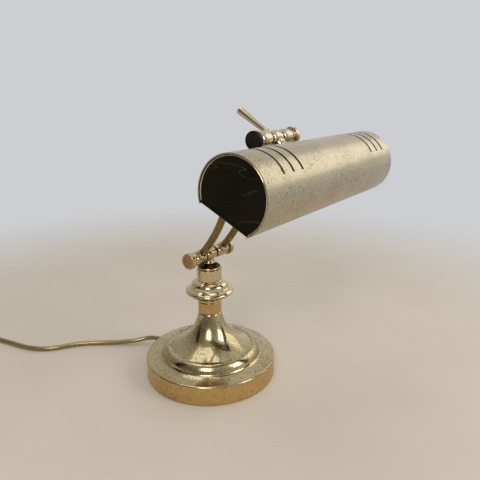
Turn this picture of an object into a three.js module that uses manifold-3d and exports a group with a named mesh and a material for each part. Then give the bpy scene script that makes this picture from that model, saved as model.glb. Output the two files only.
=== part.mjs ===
// Brass piano-style desk lamp: a weighted spun base, a turned column with a swivelling pivot block,
// a pair of S-shaped arms between two friction pivots, and a long trough shade with a tilting lever.
// Millimetres, +Z up. The origin is the centre of the base's underside. X runs along both pivots and
// the shade, and the arms lean towards -Y, the lamp's front.
import * as THREE from "three";
import { mergeVertices } from "three/addons/utils/BufferGeometryUtils.js";
import Module from "manifold-3d";

const wasm = await Module();
wasm.setup();

// ---------------------------------------------------------------- driving dimensions
const gap = 0.3;                  // clearance between pieces that touch
const sheet = 1.2;                // spun and stamped brass wall

const baseRadius = 75;
const baseWallHeight = 22.7;
const stepRadius = 58.2;          // foot of the rounded step on the base
const ridgeRadius = 49.4;
const neckRadius = 13.0;          // top of the trumpet
const neckHeight = 75.6;

const feltThickness = 1.5;
const plateThickness = 1.2;
const weightInset = 7;            // iron weight inside the base's outline
const weightThickness = 14;

const rodRadius = 5;
const rodBore = 3.4;
const bandRadius = 13.5;
const bandHeight = 13.2;
const vaseHeight = 25.6;
const vaseRadius = 27.4;          // the lens-shaped disc
const beadRadius = 20.7;
const sleeveRadius = 14;
const sleeveHeight = 13;
const saucerRadius = 13.2;
const saucerHeight = 6;

const pivotDrop = 10.2;           // lower pivot axis above the saucer
const hubRadius = 6.7;
const hubHalfLength = 8.2;
const washerThickness = 0.8;
const knuckleRadius = 7.4;
const knuckleLength = 17.8;
const capRadius = 8.7;
const capNeckRadius = 5.3;
const capNeckLength = 2.2;
const capThickness = 5;
const boltRadius = 3;

const tubeRadius = 4;
const tubeWall = 1;
const armReach = 82.6;            // upper pivot ahead of the lower one
const armRise = 131.3;            // and above it
const armEndAngle = 45;           // slope of the tubes where they enter the knuckles
const armFullness = 70;           // how far the S follows its end slopes

const shadeRadius = 32.2;
const shadeLength = 238;
const shadeWall = 0.9;
const shadeStandOff = 18.7;       // upper pivot to the shade's back
const studAngle = -38.2;          // direction from the upper pivot to the shade axis
const mouthAngle = -115;          // the middle of the open side
const mouthSpread = 99;
const ventPitch = 13.7;
const ventWidth = 2;
const ventSpread = 70;
const ventsPerGroup = 3;
const ventInsets = [41, 32.5];    // centre of each group from the near and the far end
const plateInset = 1.2;           // end plates behind the shade's edges

const studRadius = 4.2;
const leadRadius = 2.2;           // inner lead
const leverAngle = 148.7;
const leverReach = 47;
const leverTipRadius = 3.9;
const leverRootRadius = 2.4;

const bulbRadius = 12.5;
const bulbLength = 96;
const holderRadius = 11.4;
const holderLength = 36;
const holderFace = 32;            // where the lampholder's mouth is along the shade
const bracketWidth = 12;

const cordRadius = 2.8;
const cordExitHeight = 10;
const reliefLength = 15;
const coilMidRadius = 32.6;
const coilTurnsPerLayer = 3;
const coilLayers = 2;
const coilCentre = [-192, 318];

const switchLength = 60;
const switchWidth = 22;
const switchHeight = 14.4;
const switchCentre = [-133, 329];
const switchHeading = 105.4;
const rockerLength = 14;
const rockerWidth = 8;
const rockerTilt = 8;

const plugLength = 34;
const plugWidth = 26;
const plugHeight = 13.6;
const plugTail = [-199, 252];
const pinRadius = 2;
const pinLength = 19;
const pinSpacing = 18.6;

// ---------------------------------------------------------------- derived places
const rad = THREE.MathUtils.degToRad;
const weightRadius = baseRadius - weightInset;
const shadeDistance = shadeRadius + shadeStandOff;
const plateBottom = feltThickness + gap;
const weightBottom = plateBottom + plateThickness + gap;
const bandBottom = neckHeight + gap;
const vaseBottom = bandBottom + bandHeight + gap;
const sleeveBottom = vaseBottom + vaseHeight + gap;
const saucerBottom = sleeveBottom + sleeveHeight + gap;
const saucerTop = saucerBottom + saucerHeight;
const lowerPivot = saucerTop + pivotDrop;
const upperPivot = [-armReach, lowerPivot + armRise];
const knuckleStart = hubHalfLength + gap + washerThickness + gap;
const knuckleMiddle = knuckleStart + knuckleLength / 2;
const capStart = knuckleStart + knuckleLength + gap;
const boltHalfLength = capStart + capNeckLength + capThickness - 2.2;
const shellInside = shadeRadius - shadeWall;
const socketFloor = boltRadius + gap + 1.3;
const cordFloor = cordRadius + 0.1;
const coilHalfBand = coilTurnsPerLayer * cordRadius;

// ---------------------------------------------------------------- finishes
function finish(color, roughness, metalness) {
  return new THREE.MeshStandardMaterial({ color, roughness, metalness });
}

const polishedBrass = finish(0xc9b176, 0.2, 1);
const satinBrass = finish(0xb59a62, 0.42, 1);
const shadeBrass = finish(0xb3a584, 0.38, 1);
const rosyBrass = finish(0xb99a7c, 0.3, 1);
const darkBrass = finish(0x4a4436, 0.25, 1);
const zincSteel = finish(0xa8a9a6, 0.4, 1);
const castIron = finish(0x3a3a3a, 0.7, 0.6);
const felt = finish(0x27352c, 0.95, 0);
const goldVinyl = finish(0x9c8a56, 0.35, 0);
const brownPlastic = finish(0x6a5330, 0.4, 0);
const whitePlastic = finish(0xe2ddd0, 0.5, 0);
const glass = finish(0xf4f2ec, 0.1, 0);

// ---------------------------------------------------------------- geometry helpers
// A lathe about Z from [radius, height] pairs, given in either sense. A profile that doesn't start
// on the axis is closed.
function turned(profile, segments = 16) {
  const points = profile.map(([r, z]) => new THREE.Vector2(r, z));
  if (THREE.ShapeUtils.area(points) < 0) {
    points.reverse();
  }
  if (points[0].x > 0) {
    points.push(points[0].clone());
  }
  return new THREE.LatheGeometry(points, segments).rotateX(Math.PI / 2);
}

// The same, with its axis along X: the pairs are [radius, place along X].
function turnedOnX(profile, segments = 16) {
  return turned(profile, segments).rotateY(Math.PI / 2);
}

function cylinder(radius, from, to, segments = 16) {
  return turned([[0, from], [radius, from], [radius, to], [0, to]], segments);
}

function cylinderOnX(radius, from, to, segments = 16) {
  return cylinder(radius, from, to, segments).rotateY(Math.PI / 2);
}

function ring(inner, outer, from, to, segments = 16) {
  return turned([[inner, from], [outer, from], [outer, to], [inner, to]], segments);
}

function block(x0, x1, y0, y1, z0, z1) {
  const box = new THREE.BoxGeometry(x1 - x0, y1 - y0, z1 - z0);
  return box.translate((x0 + x1) / 2, (y0 + y1) / 2, (z0 + z1) / 2);
}

function hexagon(acrossCorners, bore, from, to) {
  const outline = new THREE.Shape();
  for (let side = 0; side < 6; side += 1) {
    const angle = (side * Math.PI) / 3;
    const corner = [Math.cos(angle) * acrossCorners, Math.sin(angle) * acrossCorners];
    side === 0 ? outline.moveTo(...corner) : outline.lineTo(...corner);
  }
  outline.closePath();
  outline.holes.push(new THREE.Path().absarc(0, 0, bore, 0, 2 * Math.PI, true));
  const solid = new THREE.ExtrudeGeometry(outline, { depth: to - from, bevelEnabled: false, curveSegments: 8 });
  return solid.translate(0, 0, from);
}

function circle(radius, bore = 0) {
  const outline = new THREE.Shape().absarc(0, 0, radius, 0, 2 * Math.PI, false);
  if (bore > 0) {
    outline.holes.push(new THREE.Path().absarc(0, 0, bore, 0, 2 * Math.PI, true));
  }
  return outline;
}

function sweep(outline, path, steps, sides) {
  return new THREE.ExtrudeGeometry(outline, {
    extrudePath: path,
    steps,
    curveSegments: sides / 2,
    bevelEnabled: false,
  });
}

function along(points) {
  return new THREE.CatmullRomCurve3(points.map((p) => new THREE.Vector3(...p)), false, "centripetal");
}

function signedVolume(positions, index) {
  let volume = 0;
  const [a, b, c] = [new THREE.Vector3(), new THREE.Vector3(), new THREE.Vector3()];
  for (let corner = 0; corner < index.length; corner += 3) {
    a.fromArray(positions, index[corner] * 3);
    b.fromArray(positions, index[corner + 1] * 3);
    c.fromArray(positions, index[corner + 2] * 3);
    volume += a.dot(b.cross(c)) / 6;
  }
  return volume;
}

function solidOf(geometry) {
  const bare = geometry.clone();
  bare.deleteAttribute("normal");
  bare.deleteAttribute("uv");
  const merged = mergeVertices(bare, 1e-4);
  const vertProperties = new Float32Array(merged.attributes.position.array);
  const corners = Array.from(merged.index.array);
  const triangles = [];
  for (let corner = 0; corner < corners.length; corner += 3) {
    const [a, b, c] = corners.slice(corner, corner + 3);
    if (a !== b && b !== c && c !== a) {
      triangles.push(a, b, c);
    }
  }
  if (signedVolume(vertProperties, triangles) < 0) {
    triangles.reverse();
  }
  return new wasm.Manifold(new wasm.Mesh({ numProp: 3, vertProperties, triVerts: new Uint32Array(triangles) }));
}

function geometryOf(solid) {
  const mesh = solid.getMesh();
  const geometry = new THREE.BufferGeometry();
  geometry.setAttribute("position", new THREE.BufferAttribute(new Float32Array(mesh.vertProperties), 3));
  geometry.setIndex(Array.from(mesh.triVerts));
  geometry.computeVertexNormals();
  return geometry;
}

// The first geometry with the added ones joined to it and the cutters taken away.
function shaped(geometry, { add = [], cut = [] }) {
  let solid = solidOf(geometry);
  for (const extra of add) {
    solid = solid.add(solidOf(extra));
  }
  for (const cutter of cut) {
    solid = solid.subtract(solidOf(cutter));
  }
  return geometryOf(solid);
}

// Angles in the YZ plane start at the front (-Y) and rise towards +Z.
function direction(degrees) {
  return [-Math.cos(rad(degrees)), Math.sin(rad(degrees))];
}

// Turns a piece built along +Z so that it points that way.
function pointing(geometry, degrees) {
  return geometry.rotateX(Math.PI / 2 - rad(degrees));
}

// The inner side of a sheet-metal outline, a wall's thickness along its normals.
function innerSide(outline, wall) {
  return outline.map(([r, z], i) => {
    const before = outline[Math.max(i - 1, 0)];
    const after = outline[Math.min(i + 1, outline.length - 1)];
    const run = [after[0] - before[0], after[1] - before[1]];
    const length = Math.hypot(...run);
    return [r - (run[1] / length) * wall, z + (run[0] / length) * wall];
  });
}

const lamp = new THREE.Group();

function place(parent, name, geometry, material) {
  const mesh = new THREE.Mesh(geometry, material);
  mesh.name = name;
  parent.add(mesh);
  return mesh;
}

// ---------------------------------------------------------------- base and column
function baseOutline() {
  const stepFoot = baseWallHeight + 1.3;
  const ridgeTop = stepFoot + 10.8;
  const outline = [
    [baseRadius, 0.6],
    [baseRadius, baseWallHeight - 0.7],
    [baseRadius - 0.7, baseWallHeight],
    [stepRadius + 0.8, stepFoot],
    [stepRadius - 0.8, stepFoot + 1.2],
    [stepRadius - 2.4, stepFoot + 4.2],
    [stepRadius - 4.4, stepFoot + 7.4],
    [ridgeRadius + 2.2, ridgeTop - 1],
    [ridgeRadius, ridgeTop],
    [ridgeRadius - 2, ridgeTop - 0.6],
  ];
  // The trumpet: a flared curve from the ridge to the neck.
  const foot = [ridgeRadius - 3, ridgeTop - 0.2];
  const flare = new THREE.CubicBezierCurve(
    new THREE.Vector2(...foot),
    new THREE.Vector2(foot[0] - 24, foot[1] + 10),
    new THREE.Vector2(neckRadius + 5, neckHeight - 20),
    new THREE.Vector2(neckRadius, neckHeight),
  );
  return outline.concat(flare.getPoints(6).map((p) => [p.x, p.y]));
}

function addBase(root) {
  const outside = baseOutline();
  const inside = innerSide(outside, sheet).filter((point, i) => i < 3 || i % 2 === 0);
  inside[0][1] = outside[0][1];
  const top = inside[inside.length - 1];
  inside[inside.length - 1] = [top[0], neckHeight - sheet];
  const bore = rodRadius + gap;
  const profile = [...outside, [bore, neckHeight], [bore, neckHeight - sheet], ...inside.reverse()];
  const cordHole = cylinder(5.2 + gap, baseRadius - 8, baseRadius + 4, 16);
  cordHole.rotateX(-Math.PI / 2).translate(0, 0, cordExitHeight);
  place(root, "base_shell", shaped(turned(profile, 32), { cut: [cordHole] }), polishedBrass);

  const weightTop = weightBottom + weightThickness;
  const weight = shaped(cylinder(weightRadius, weightBottom, weightTop, 24), {
    cut: [
      cylinder(rodRadius + gap, 0, weightTop + 5, 16),
      cylinder(12.5, 0, weightBottom + 6.4, 20),
      block(-5, 5, 44, weightRadius + 5, 0, weightTop + 5),
    ],
  });
  place(root, "base_weight", weight, castIron);
  place(root, "base_nut", hexagon(9, rodRadius + gap, weightBottom + 0.8, weightBottom + 6.1), zincSteel);
  const coverRadius = baseRadius - sheet - 0.6;
  const cover = cylinder(coverRadius, plateBottom, plateBottom + plateThickness, 32);
  place(root, "base_plate", cover, zincSteel);
  place(root, "base_felt", cylinder(coverRadius - 0.4, 0, feltThickness, 32), felt);

  const relief = turned([
    [0, -5],
    [6.1, -5],
    [6.1, -sheet - 0.7],
    [5.2, -sheet - 0.7],
    [5.2, gap],
    [6.4, gap],
    [6.4, 1.8],
    [4.7, 2.6],
    [cordRadius + 0.7, reliefLength],
    [0, reliefLength],
  ], 16);
  relief.rotateX(-Math.PI / 2).translate(0, baseRadius, cordExitHeight);
  place(root, "strain_relief", relief, brownPlastic);

  const leadTop = sleeveBottom + 2;
  const lead = along([
    [0, baseRadius - 5 - gap, cordExitHeight],
    [0, 62, cordExitHeight + 0.8],
    [0, 55, cordExitHeight + 5],
    [0, 48, 19.8],
    [0, 40, 21],
    [0, 25, 21.2],
    [0, 12, 22.4],
    [0, 4, 27.4],
    [0, 0.4, 36],
    [0, 0, 48],
    [0, 0, leadTop / 2 + 30],
    [0, 0, leadTop],
  ]);
  place(root, "base_lead", sweep(circle(leadRadius), lead, 20, 8), whitePlastic);
}

function addColumn(root) {
  const rodTop = sleeveBottom + 5.2;
  const rod = shaped(ring(rodBore, rodRadius, weightBottom + 1, rodTop, 16), {
    cut: [block(-2.8, 2.8, 0, rodRadius + 1, weightBottom + weightThickness + 0.4, 39)],
  });
  place(root, "stem_rod", rod, zincSteel);

  const bore = rodRadius + gap;
  const band = turned([
    [bore, bandBottom],
    [bandRadius - 0.6, bandBottom],
    [bandRadius, bandBottom + 0.6],
    [bandRadius, bandBottom + bandHeight - 0.6],
    [bandRadius - 0.6, bandBottom + bandHeight],
    [bore, bandBottom + bandHeight],
  ], 24);
  place(root, "stem_band", band, satinBrass);

  const z = vaseBottom;
  const vase = turned([
    [bore, z],
    [bandRadius - 0.4, z],
    [bandRadius + 0.6, z + 1.2],
    [bandRadius + 1.2, z + 3.2],
    [bandRadius + 4.4, z + 5.4],
    [beadRadius, z + 6.6],
    [vaseRadius - 2, z + 10.2],
    [vaseRadius, z + 12.4],
    [vaseRadius - 0.7, z + 14.2],
    [vaseRadius - 3.4, z + 16.4],
    [beadRadius + 0.4, z + 18.2],
    [beadRadius, z + 20.4],
    [beadRadius - 1.6, z + 22.6],
    [sleeveRadius + 1.4, z + 24.2],
    [sleeveRadius + 0.3, z + vaseHeight],
    [bore, z + vaseHeight],
    [bore, z + vaseHeight - 2],
    [sleeveRadius - 1, z + vaseHeight - 2],
    [beadRadius - 3, z + 19],
    [vaseRadius - 3, z + 12.6],
    [bandRadius - 1.6, z + 2],
    [bore, z + 2],
  ], 24);
  place(root, "stem_vase", vase, polishedBrass);

  const sleeveTop = sleeveBottom + sleeveHeight;
  const sleeve = turned([
    [bore, sleeveBottom],
    [sleeveRadius, sleeveBottom],
    [sleeveRadius, sleeveTop - 0.8],
    [sleeveRadius - 0.6, sleeveTop],
    [sleeveRadius - 1.8, sleeveTop],
    [sleeveRadius - 1.8, sleeveBottom + 4],
    [bore, sleeveBottom + 4],
  ], 20);
  place(root, "neck_sleeve", sleeve, polishedBrass);

  const b = saucerBottom;
  const saucer = turned([
    [bore, saucerTop],
    [hubRadius + 1.2, saucerTop - 0.3],
    [saucerRadius - 2.6, saucerTop - 2],
    [saucerRadius, b + 1.6],
    [saucerRadius, b],
    [saucerRadius - 1.6, b],
    [saucerRadius - 4, saucerTop - 3.2],
    [hubRadius + 1.6, saucerTop - 1.8],
    [bore, saucerTop - 1.8],
  ], 20);
  place(root, "neck_cap", saucer, darkBrass);
}

// ---------------------------------------------------------------- pivots
// A cap nut, its neck towards the knuckle. side is -1 or 1 along X.
function capNut(side) {
  const face = capStart + capNeckLength + capThickness;
  const disc = capStart + capNeckLength;
  const profile = [
    [0, face],
    [capRadius, face],
    [capRadius, disc],
    [capNeckRadius, disc],
    [capNeckRadius, capStart],
    [boltRadius + gap, capStart],
    [boltRadius + gap, boltHalfLength + gap],
    [0, boltHalfLength + gap],
  ];
  return turnedOnX(profile.map(([r, x]) => [r, x * side]), 20);
}

function knuckleBead(side) {
  const half = knuckleLength / 2;
  const bore = boltRadius + gap;
  const profile = [
    [bore, -half],
    [knuckleRadius - 1.1, -half],
    [knuckleRadius - 0.2, -half + 4.2],
    [knuckleRadius - 0.2, half - 4.2],
    [knuckleRadius - 1.1, half],
    [bore, half],
  ];
  return turnedOnX(profile, 18).translate(side * knuckleMiddle, 0, 0);
}

// The turning hardware that both pivots share, at the origin.
function addPivotHardware(group, prefix, metal) {
  place(group, `${prefix}_bolt`, cylinderOnX(boltRadius, -boltHalfLength, boltHalfLength, 16), zincSteel);
  for (const [side, tag] of [[-1, "near"], [1, "far"]]) {
    const from = hubHalfLength + gap;
    const washer = turnedOnX([
      [boltRadius + gap, side * from],
      [hubRadius - 0.4, side * from],
      [hubRadius - 0.4, side * (from + washerThickness)],
      [boltRadius + gap, side * (from + washerThickness)],
    ]);
    place(group, `${prefix}_washer_${tag}`, washer, darkBrass);
    place(group, `${prefix}_cap_${tag}`, capNut(side), metal);
  }
}

function addPivotBlock(parent) {
  const pivotBlock = new THREE.Group();
  pivotBlock.position.set(0, 0, lowerPivot);
  parent.add(pivotBlock);
  const stemBottom = saucerBottom - 2.5 - lowerPivot;
  const stemTop = saucerTop + gap - lowerPivot;
  const barrel = turnedOnX([
    [0, -hubHalfLength],
    [hubRadius - 0.7, -hubHalfLength],
    [hubRadius, -hubHalfLength + 1],
    [hubRadius, hubHalfLength - 1],
    [hubRadius - 0.7, hubHalfLength],
    [0, hubHalfLength],
  ]);
  const hub = shaped(barrel, {
    add: [
      cylinder(rodRadius, stemBottom, 0),
      turned([[0, stemTop], [hubRadius + 0.6, stemTop], [hubRadius - 0.6, stemTop + 3.4], [0, stemTop + 5]]),
    ],
    cut: [
      cylinderOnX(boltRadius + gap, -hubHalfLength - 1, hubHalfLength + 1, 16),
      cylinder(rodBore - 0.6, stemBottom - 1, 0, 12),
    ],
  });
  place(pivotBlock, "lower_hub", hub, rosyBrass);
  const nutTop = saucerTop - 1.8 - gap - lowerPivot;
  place(pivotBlock, "swivel_nut", hexagon(7.6, rodRadius + gap, nutTop - 3, nutTop), zincSteel);
  addPivotHardware(pivotBlock, "lower", rosyBrass);
}

// ---------------------------------------------------------------- arms
function armPath() {
  const slope = [-Math.cos(rad(armEndAngle)), Math.sin(rad(armEndAngle))];
  const start = new THREE.Vector2(0, 0);
  const end = new THREE.Vector2(-armReach, armRise);
  const reach = new THREE.Vector2(...slope).multiplyScalar(armFullness);
  const whole = new THREE.CubicBezierCurve(start, start.clone().add(reach), end.clone().sub(reach), end);
  const inset = (socketFloor + gap) / whole.getLength();
  const points = [];
  const stations = 13;
  for (let i = 0; i < stations; i += 1) {
    const p = whole.getPointAt(inset + ((1 - 2 * inset) * i) / (stations - 1));
    points.push(new THREE.Vector3(0, p.x, p.y));
  }
  return new THREE.CatmullRomCurve3(points);
}

function addArms(parent) {
  const arms = new THREE.Group();
  arms.position.set(0, 0, lowerPivot);
  parent.add(arms);
  const path = armPath();
  const socketRadius = tubeRadius + gap;
  for (const [side, tag] of [[-1, "near"], [1, "far"]]) {
    const x = side * knuckleMiddle;
    const tubeSpace = sweep(circle(socketRadius), path, 14, 12).translate(x, 0, 0);
    const tube = sweep(circle(tubeRadius, tubeRadius - tubeWall), path, 14, 10);
    place(arms, `arm_tube_${tag}`, tube.translate(x, 0, 0), satinBrass);
    for (const [level, y, z, angle] of [
      ["lower", 0, 0, armEndAngle],
      ["upper", -armReach, armRise, armEndAngle - 180],
    ]) {
      const socket = pointing(cylinder(socketRadius, socketFloor, 20, 16), angle).translate(x, 0, 0);
      const atPivot = (geometry) => geometry.translate(0, y, z);
      const bead = shaped(atPivot(knuckleBead(side)), { cut: [atPivot(socket), tubeSpace] });
      place(arms, `${level}_knuckle_${tag}`, bead, rosyBrass);
      const ferruleBlank = turned([
        [0, knuckleRadius - 3],
        [tubeRadius + 1.9, knuckleRadius - 3],
        [tubeRadius + 1.9, knuckleRadius + 2.2],
        [tubeRadius + 1.2, knuckleRadius + 3],
        [0, knuckleRadius + 3],
      ]);
      const saddle = atPivot(cylinderOnX(knuckleRadius + gap, -40, 40, 24));
      const ferrule = shaped(atPivot(pointing(ferruleBlank, angle).translate(x, 0, 0)), {
        cut: [saddle, tubeSpace],
      });
      place(arms, `${level}_ferrule_${tag}`, ferrule, polishedBrass);
    }
  }
  const lead = sweep(circle(leadRadius), path, 14, 8).translate(-knuckleMiddle, 0, 0);
  place(arms, "arm_lead", lead, whitePlastic);
}

// ---------------------------------------------------------------- shade
// Built about the upper pivot. The shade's own axis lies shadeDistance away at studAngle.
function addShade(parent) {
  const head = new THREE.Group();
  head.position.set(0, upperPivot[0], upperPivot[1]);
  parent.add(head);
  const shade = new THREE.Group();
  const [axisY, axisZ] = direction(studAngle).map((v) => v * shadeDistance);
  shade.position.set(0, axisY, axisZ);
  head.add(shade);

  const wallAtStud = shadeDistance - shadeRadius;   // the shell's outside, from the pivot
  const bracketTop = wallAtStud + shadeWall + gap + 0.7;
  const bracketBottom = bracketTop + sheet;
  const studEnd = bracketBottom + gap + 4.6;

  const barrel = turnedOnX([
    [0, -hubHalfLength],
    [knuckleRadius - 1.3, -hubHalfLength],
    [knuckleRadius - 0.3, -hubHalfLength + 2.4],
    [knuckleRadius - 0.1, 0],
    [knuckleRadius - 0.3, hubHalfLength - 2.4],
    [knuckleRadius - 1.3, hubHalfLength],
    [0, hubHalfLength],
  ]);
  const hub = shaped(barrel, {
    add: [pointing(cylinder(studRadius, 2, studEnd, 16), studAngle)],
    cut: [
      cylinderOnX(boltRadius + gap, -hubHalfLength - 1, hubHalfLength + 1, 16),
      pointing(cylinder(leadRadius + gap, 0, studEnd + 1, 12), studAngle),
    ],
  });
  place(head, "upper_hub", hub, rosyBrass);
  addPivotHardware(head, "upper", rosyBrass);

  const saddleBlank = turned([
    [studRadius + gap, 5],
    [studRadius + 1.8, 5],
    [studRadius + 1.6, wallAtStud - 7.2],
    [studRadius + 2.4, wallAtStud - 4.7],
    [studRadius + 4.6, wallAtStud - 2.1],
    [studRadius + 5, wallAtStud + 3],
    [studRadius + gap, wallAtStud + 3],
  ]);
  const shellOutside = cylinderOnX(shadeRadius + gap, -20, 20, 48).translate(0, axisY, axisZ);
  const saddle = shaped(pointing(saddleBlank, studAngle), {
    cut: [cylinderOnX(knuckleRadius + gap, -20, 20, 24), shellOutside],
  });
  place(head, "shade_saddle", saddle, polishedBrass);
  const nut = hexagon(7, studRadius + gap, bracketBottom + gap, bracketBottom + gap + 3.6);
  place(head, "stud_nut", pointing(nut, studAngle), zincSteel);

  addLever(head);
  addShell(shade);
  addLampholder(shade, shadeDistance - bracketTop, shadeDistance - bracketBottom, shadeDistance - studEnd);
}

function addLever(head) {
  const root = knuckleRadius + gap;
  const ferrule = turned([
    [0, root - 3],
    [leverRootRadius + 1.4, root - 3],
    [leverRootRadius + 1.4, root + 2.2],
    [leverRootRadius + 0.6, root + 3.4],
    [0, root + 3.4],
  ], 16);
  const seat = cylinderOnX(root, -12, 12, 24);
  place(head, "lever_ferrule", shaped(pointing(ferrule, leverAngle), { cut: [seat] }), polishedBrass);
  const lever = turned([
    [0, root + 3.4 + gap],
    [leverRootRadius, root + 3.4 + gap],
    [leverTipRadius, leverReach - 0.6],
    [leverTipRadius - 0.6, leverReach],
    [0, leverReach],
  ]);
  place(head, "tilt_lever", pointing(lever, leverAngle), polishedBrass);
}

// Points [z, y] of an arc about the X axis, with angles as in direction().
function arc(radius, fromAngle, toAngle, segments) {
  const points = [];
  for (let i = 0; i <= segments; i += 1) {
    const [y, z] = direction(fromAngle + ((toAngle - fromAngle) * i) / segments);
    points.push(new THREE.Vector2(z * radius, y * radius));
  }
  return points;
}

// Extrudes an outline of [z, y] points from x0 to x1.
function extrudedOnX(points, x0, x1) {
  const solid = new THREE.ExtrudeGeometry(new THREE.Shape(points), { depth: x1 - x0, bevelEnabled: false });
  const axes = new THREE.Matrix4().makeBasis(
    new THREE.Vector3(0, 0, 1),
    new THREE.Vector3(0, 1, 0),
    new THREE.Vector3(-1, 0, 0),
  );
  return solid.applyMatrix4(axes).translate(x1, 0, 0);
}

// A piece of a tube's wall about the X axis.
function sector(inner, outer, fromAngle, toAngle, x0, x1, segments) {
  const outside = arc(outer, fromAngle, toAngle, segments);
  const inside = arc(inner, fromAngle, toAngle, segments).reverse();
  return extrudedOnX([...outside, ...inside], x0, x1);
}

function addShell(shade) {
  const half = shadeLength / 2;
  const mouthEnd = mouthAngle + mouthSpread / 2;
  const mouthStart = mouthAngle - mouthSpread / 2 + 360;
  const crown = mouthAngle + 180;
  const vents = [];
  for (const centre of [-half + ventInsets[0], half - ventInsets[1]]) {
    for (let i = 0; i < ventsPerGroup; i += 1) {
      const x = centre + (i - (ventsPerGroup - 1) / 2) * ventPitch;
      const [from, to] = [crown - ventSpread / 2, crown + ventSpread / 2];
      const [inner, outer] = [shellInside - 2, shadeRadius + 2];
      vents.push(sector(inner, outer, from, to, x - ventWidth / 2, x + ventWidth / 2, 6));
    }
  }
  const studHole = pointing(cylinder(studRadius + gap, shellInside - 4, shadeRadius + 4, 16), studAngle + 180);
  const shell = shaped(sector(shellInside, shadeRadius, mouthEnd, mouthStart, -half, half, 38), {
    cut: [...vents, studHole],
  });
  place(shade, "shade_shell", shell, shadeBrass);

  // Each end plate fills the shell's section, closed by a straight edge across the open side.
  for (const [side, tag] of [[-1, "near"], [1, "far"]]) {
    const x1 = side < 0 ? -half + plateInset + sheet : half - plateInset;
    const outline = arc(shellInside - gap, mouthEnd, mouthStart, 30);
    place(shade, `end_plate_${tag}`, extrudedOnX(outline, x1 - sheet, x1), polishedBrass);
  }
}

// stripTop and stripBottom are the bracket strip's distances from the shade's axis, on the stud's side.
function addLampholder(shade, stripTop, stripBottom, studTip) {
  const up = studAngle + 180;
  const back = holderFace + holderLength;
  const half = bracketWidth / 2;
  const strip = block(-half - 3, back + gap + sheet, -half, half, stripBottom, stripTop);
  const legTop = stripBottom + 0.2;
  const bracket = shaped(strip, {
    add: [
      block(back + gap, back + gap + sheet, -half, half, 0, legTop),
      cylinderOnX(half + 2.5, back + gap, back + gap + sheet, 20),
    ],
    cut: [
      cylinder(studRadius + gap, stripBottom - 2, stripTop + 2, 16),
      cylinderOnX(rodRadius + gap, back - 2, back + 4, 16),
    ],
  });
  place(shade, "lampholder_bracket", pointing(bracket, up), zincSteel);

  const body = turnedOnX([
    [0, back + 4],
    [rodRadius, back + 4],
    [rodRadius, back],
    [holderRadius - 3.4, back],
    [holderRadius, back - 4],
    [holderRadius, holderFace],
    [holderRadius - 2.4, holderFace],
    [holderRadius - 2.4, back - 10],
    [0, back - 10],
  ]);
  place(shade, "lampholder_body", body, whitePlastic);
  const collar = turnedOnX([
    [holderRadius + gap, holderFace + 2],
    [holderRadius + 1.9, holderFace + 2],
    [holderRadius + 1.9, holderFace + 8],
    [holderRadius + gap, holderFace + 8],
  ]);
  place(shade, "lampholder_ring", collar, whitePlastic);

  const capRadiusE14 = 6.8;
  const capBase = back - 10 - gap;
  const thread = turnedOnX([
    [0, capBase],
    [2.5, capBase],
    [capRadiusE14, capBase - 3],
    [capRadiusE14, holderFace + 4],
    [0, holderFace + 4],
  ]);
  place(shade, "bulb_cap", thread, zincSteel);
  const neck = holderFace + 4 - gap;
  const bulbEnd = holderFace - bulbLength;
  const outer = [
    [capRadiusE14 - 0.4, neck],
    [capRadiusE14 + 0.6, neck - 5],
    [bulbRadius, neck - 13],
    [bulbRadius, bulbEnd + 8],
    [bulbRadius - 2, bulbEnd + 3.2],
    [bulbRadius - 6, bulbEnd + 0.6],
  ];
  const inner = outer.map(([r, x], i) => [r - 1, i < 4 ? x : x + 0.8]).reverse();
  const envelope = turnedOnX([...outer, [0, bulbEnd], [0, bulbEnd + 1], ...inner, outer[0]]);
  place(shade, "bulb_glass", envelope, glass);

  const lead = along([
    [0, 0, studTip - 2 * gap],
    [0, 0, studTip - 1.4],
    [2.4, 0, studTip - 3.6],
    [14, -2, studTip - 4.4],
    [40, -9, 18.5],
    [58, -13, 15.5],
    [74, -14, 11],
    [87, -11, 6],
    [94, -5, 2],
    [91.5, -1, 0.2],
    [85, 0, 0],
    [back + 4 + gap, 0, 0],
  ]);
  place(shade, "shade_lead", pointing(sweep(circle(leadRadius), lead, 26, 8), up), whitePlastic);
}

// ---------------------------------------------------------------- cord
// The free cord: along the table to the in-line switch, on to a wound coil, and to the plug.
const runPoints = [
  [0, baseRadius + reliefLength + gap, cordExitHeight],
  [0, baseRadius + reliefLength + 4, cordExitHeight],
  [-1.7, 100, 9.2],
  [-6, 107, 7.8],
  [-13.4, 114.6, 6],
  [-22.4, 126, 4.4],
  [-31.5, 138.4, 3.4],
  [-40.6, 150.4, cordFloor],
  [-50, 161.6, cordFloor],
  [-60, 171.8, cordFloor],
  [-71.7, 180.2, cordFloor],
  [-83.9, 187.4, cordFloor],
  [-94.2, 197, cordFloor],
  [-102.2, 209.8, cordFloor],
  [-107.8, 227, cordFloor],
  [-112, 248, cordFloor],
  [-116.2, 268, cordFloor],
  [-120.2, 284, 3.8],
];
const leadPoints = [
  [-146.4, 374, 4.4],
  [-153, 387, cordFloor],
  [-165, 397, cordFloor],
  [-182, 400, cordFloor],
  [-201, 395, cordFloor],
  [-216, 384, cordFloor],
  [-226, 367.5, cordFloor],
  [-230.4, 354, cordFloor],
  [-232.4, 341.3, cordFloor],
];
const tailPoints = [
  [-232.4, 294.7, 7.6],
  [-229, 283, 6.6],
  [-226.5, 271.5, 5.6],
  [-221.5, 261.5, 5],
  [-213.5, 254.8, 5.2],
];

function onSwitchAxis(distance, height) {
  const heading = rad(switchHeading);
  const [x, y] = switchCentre;
  return [x + Math.cos(heading) * distance, y + Math.sin(heading) * distance, height];
}

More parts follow.
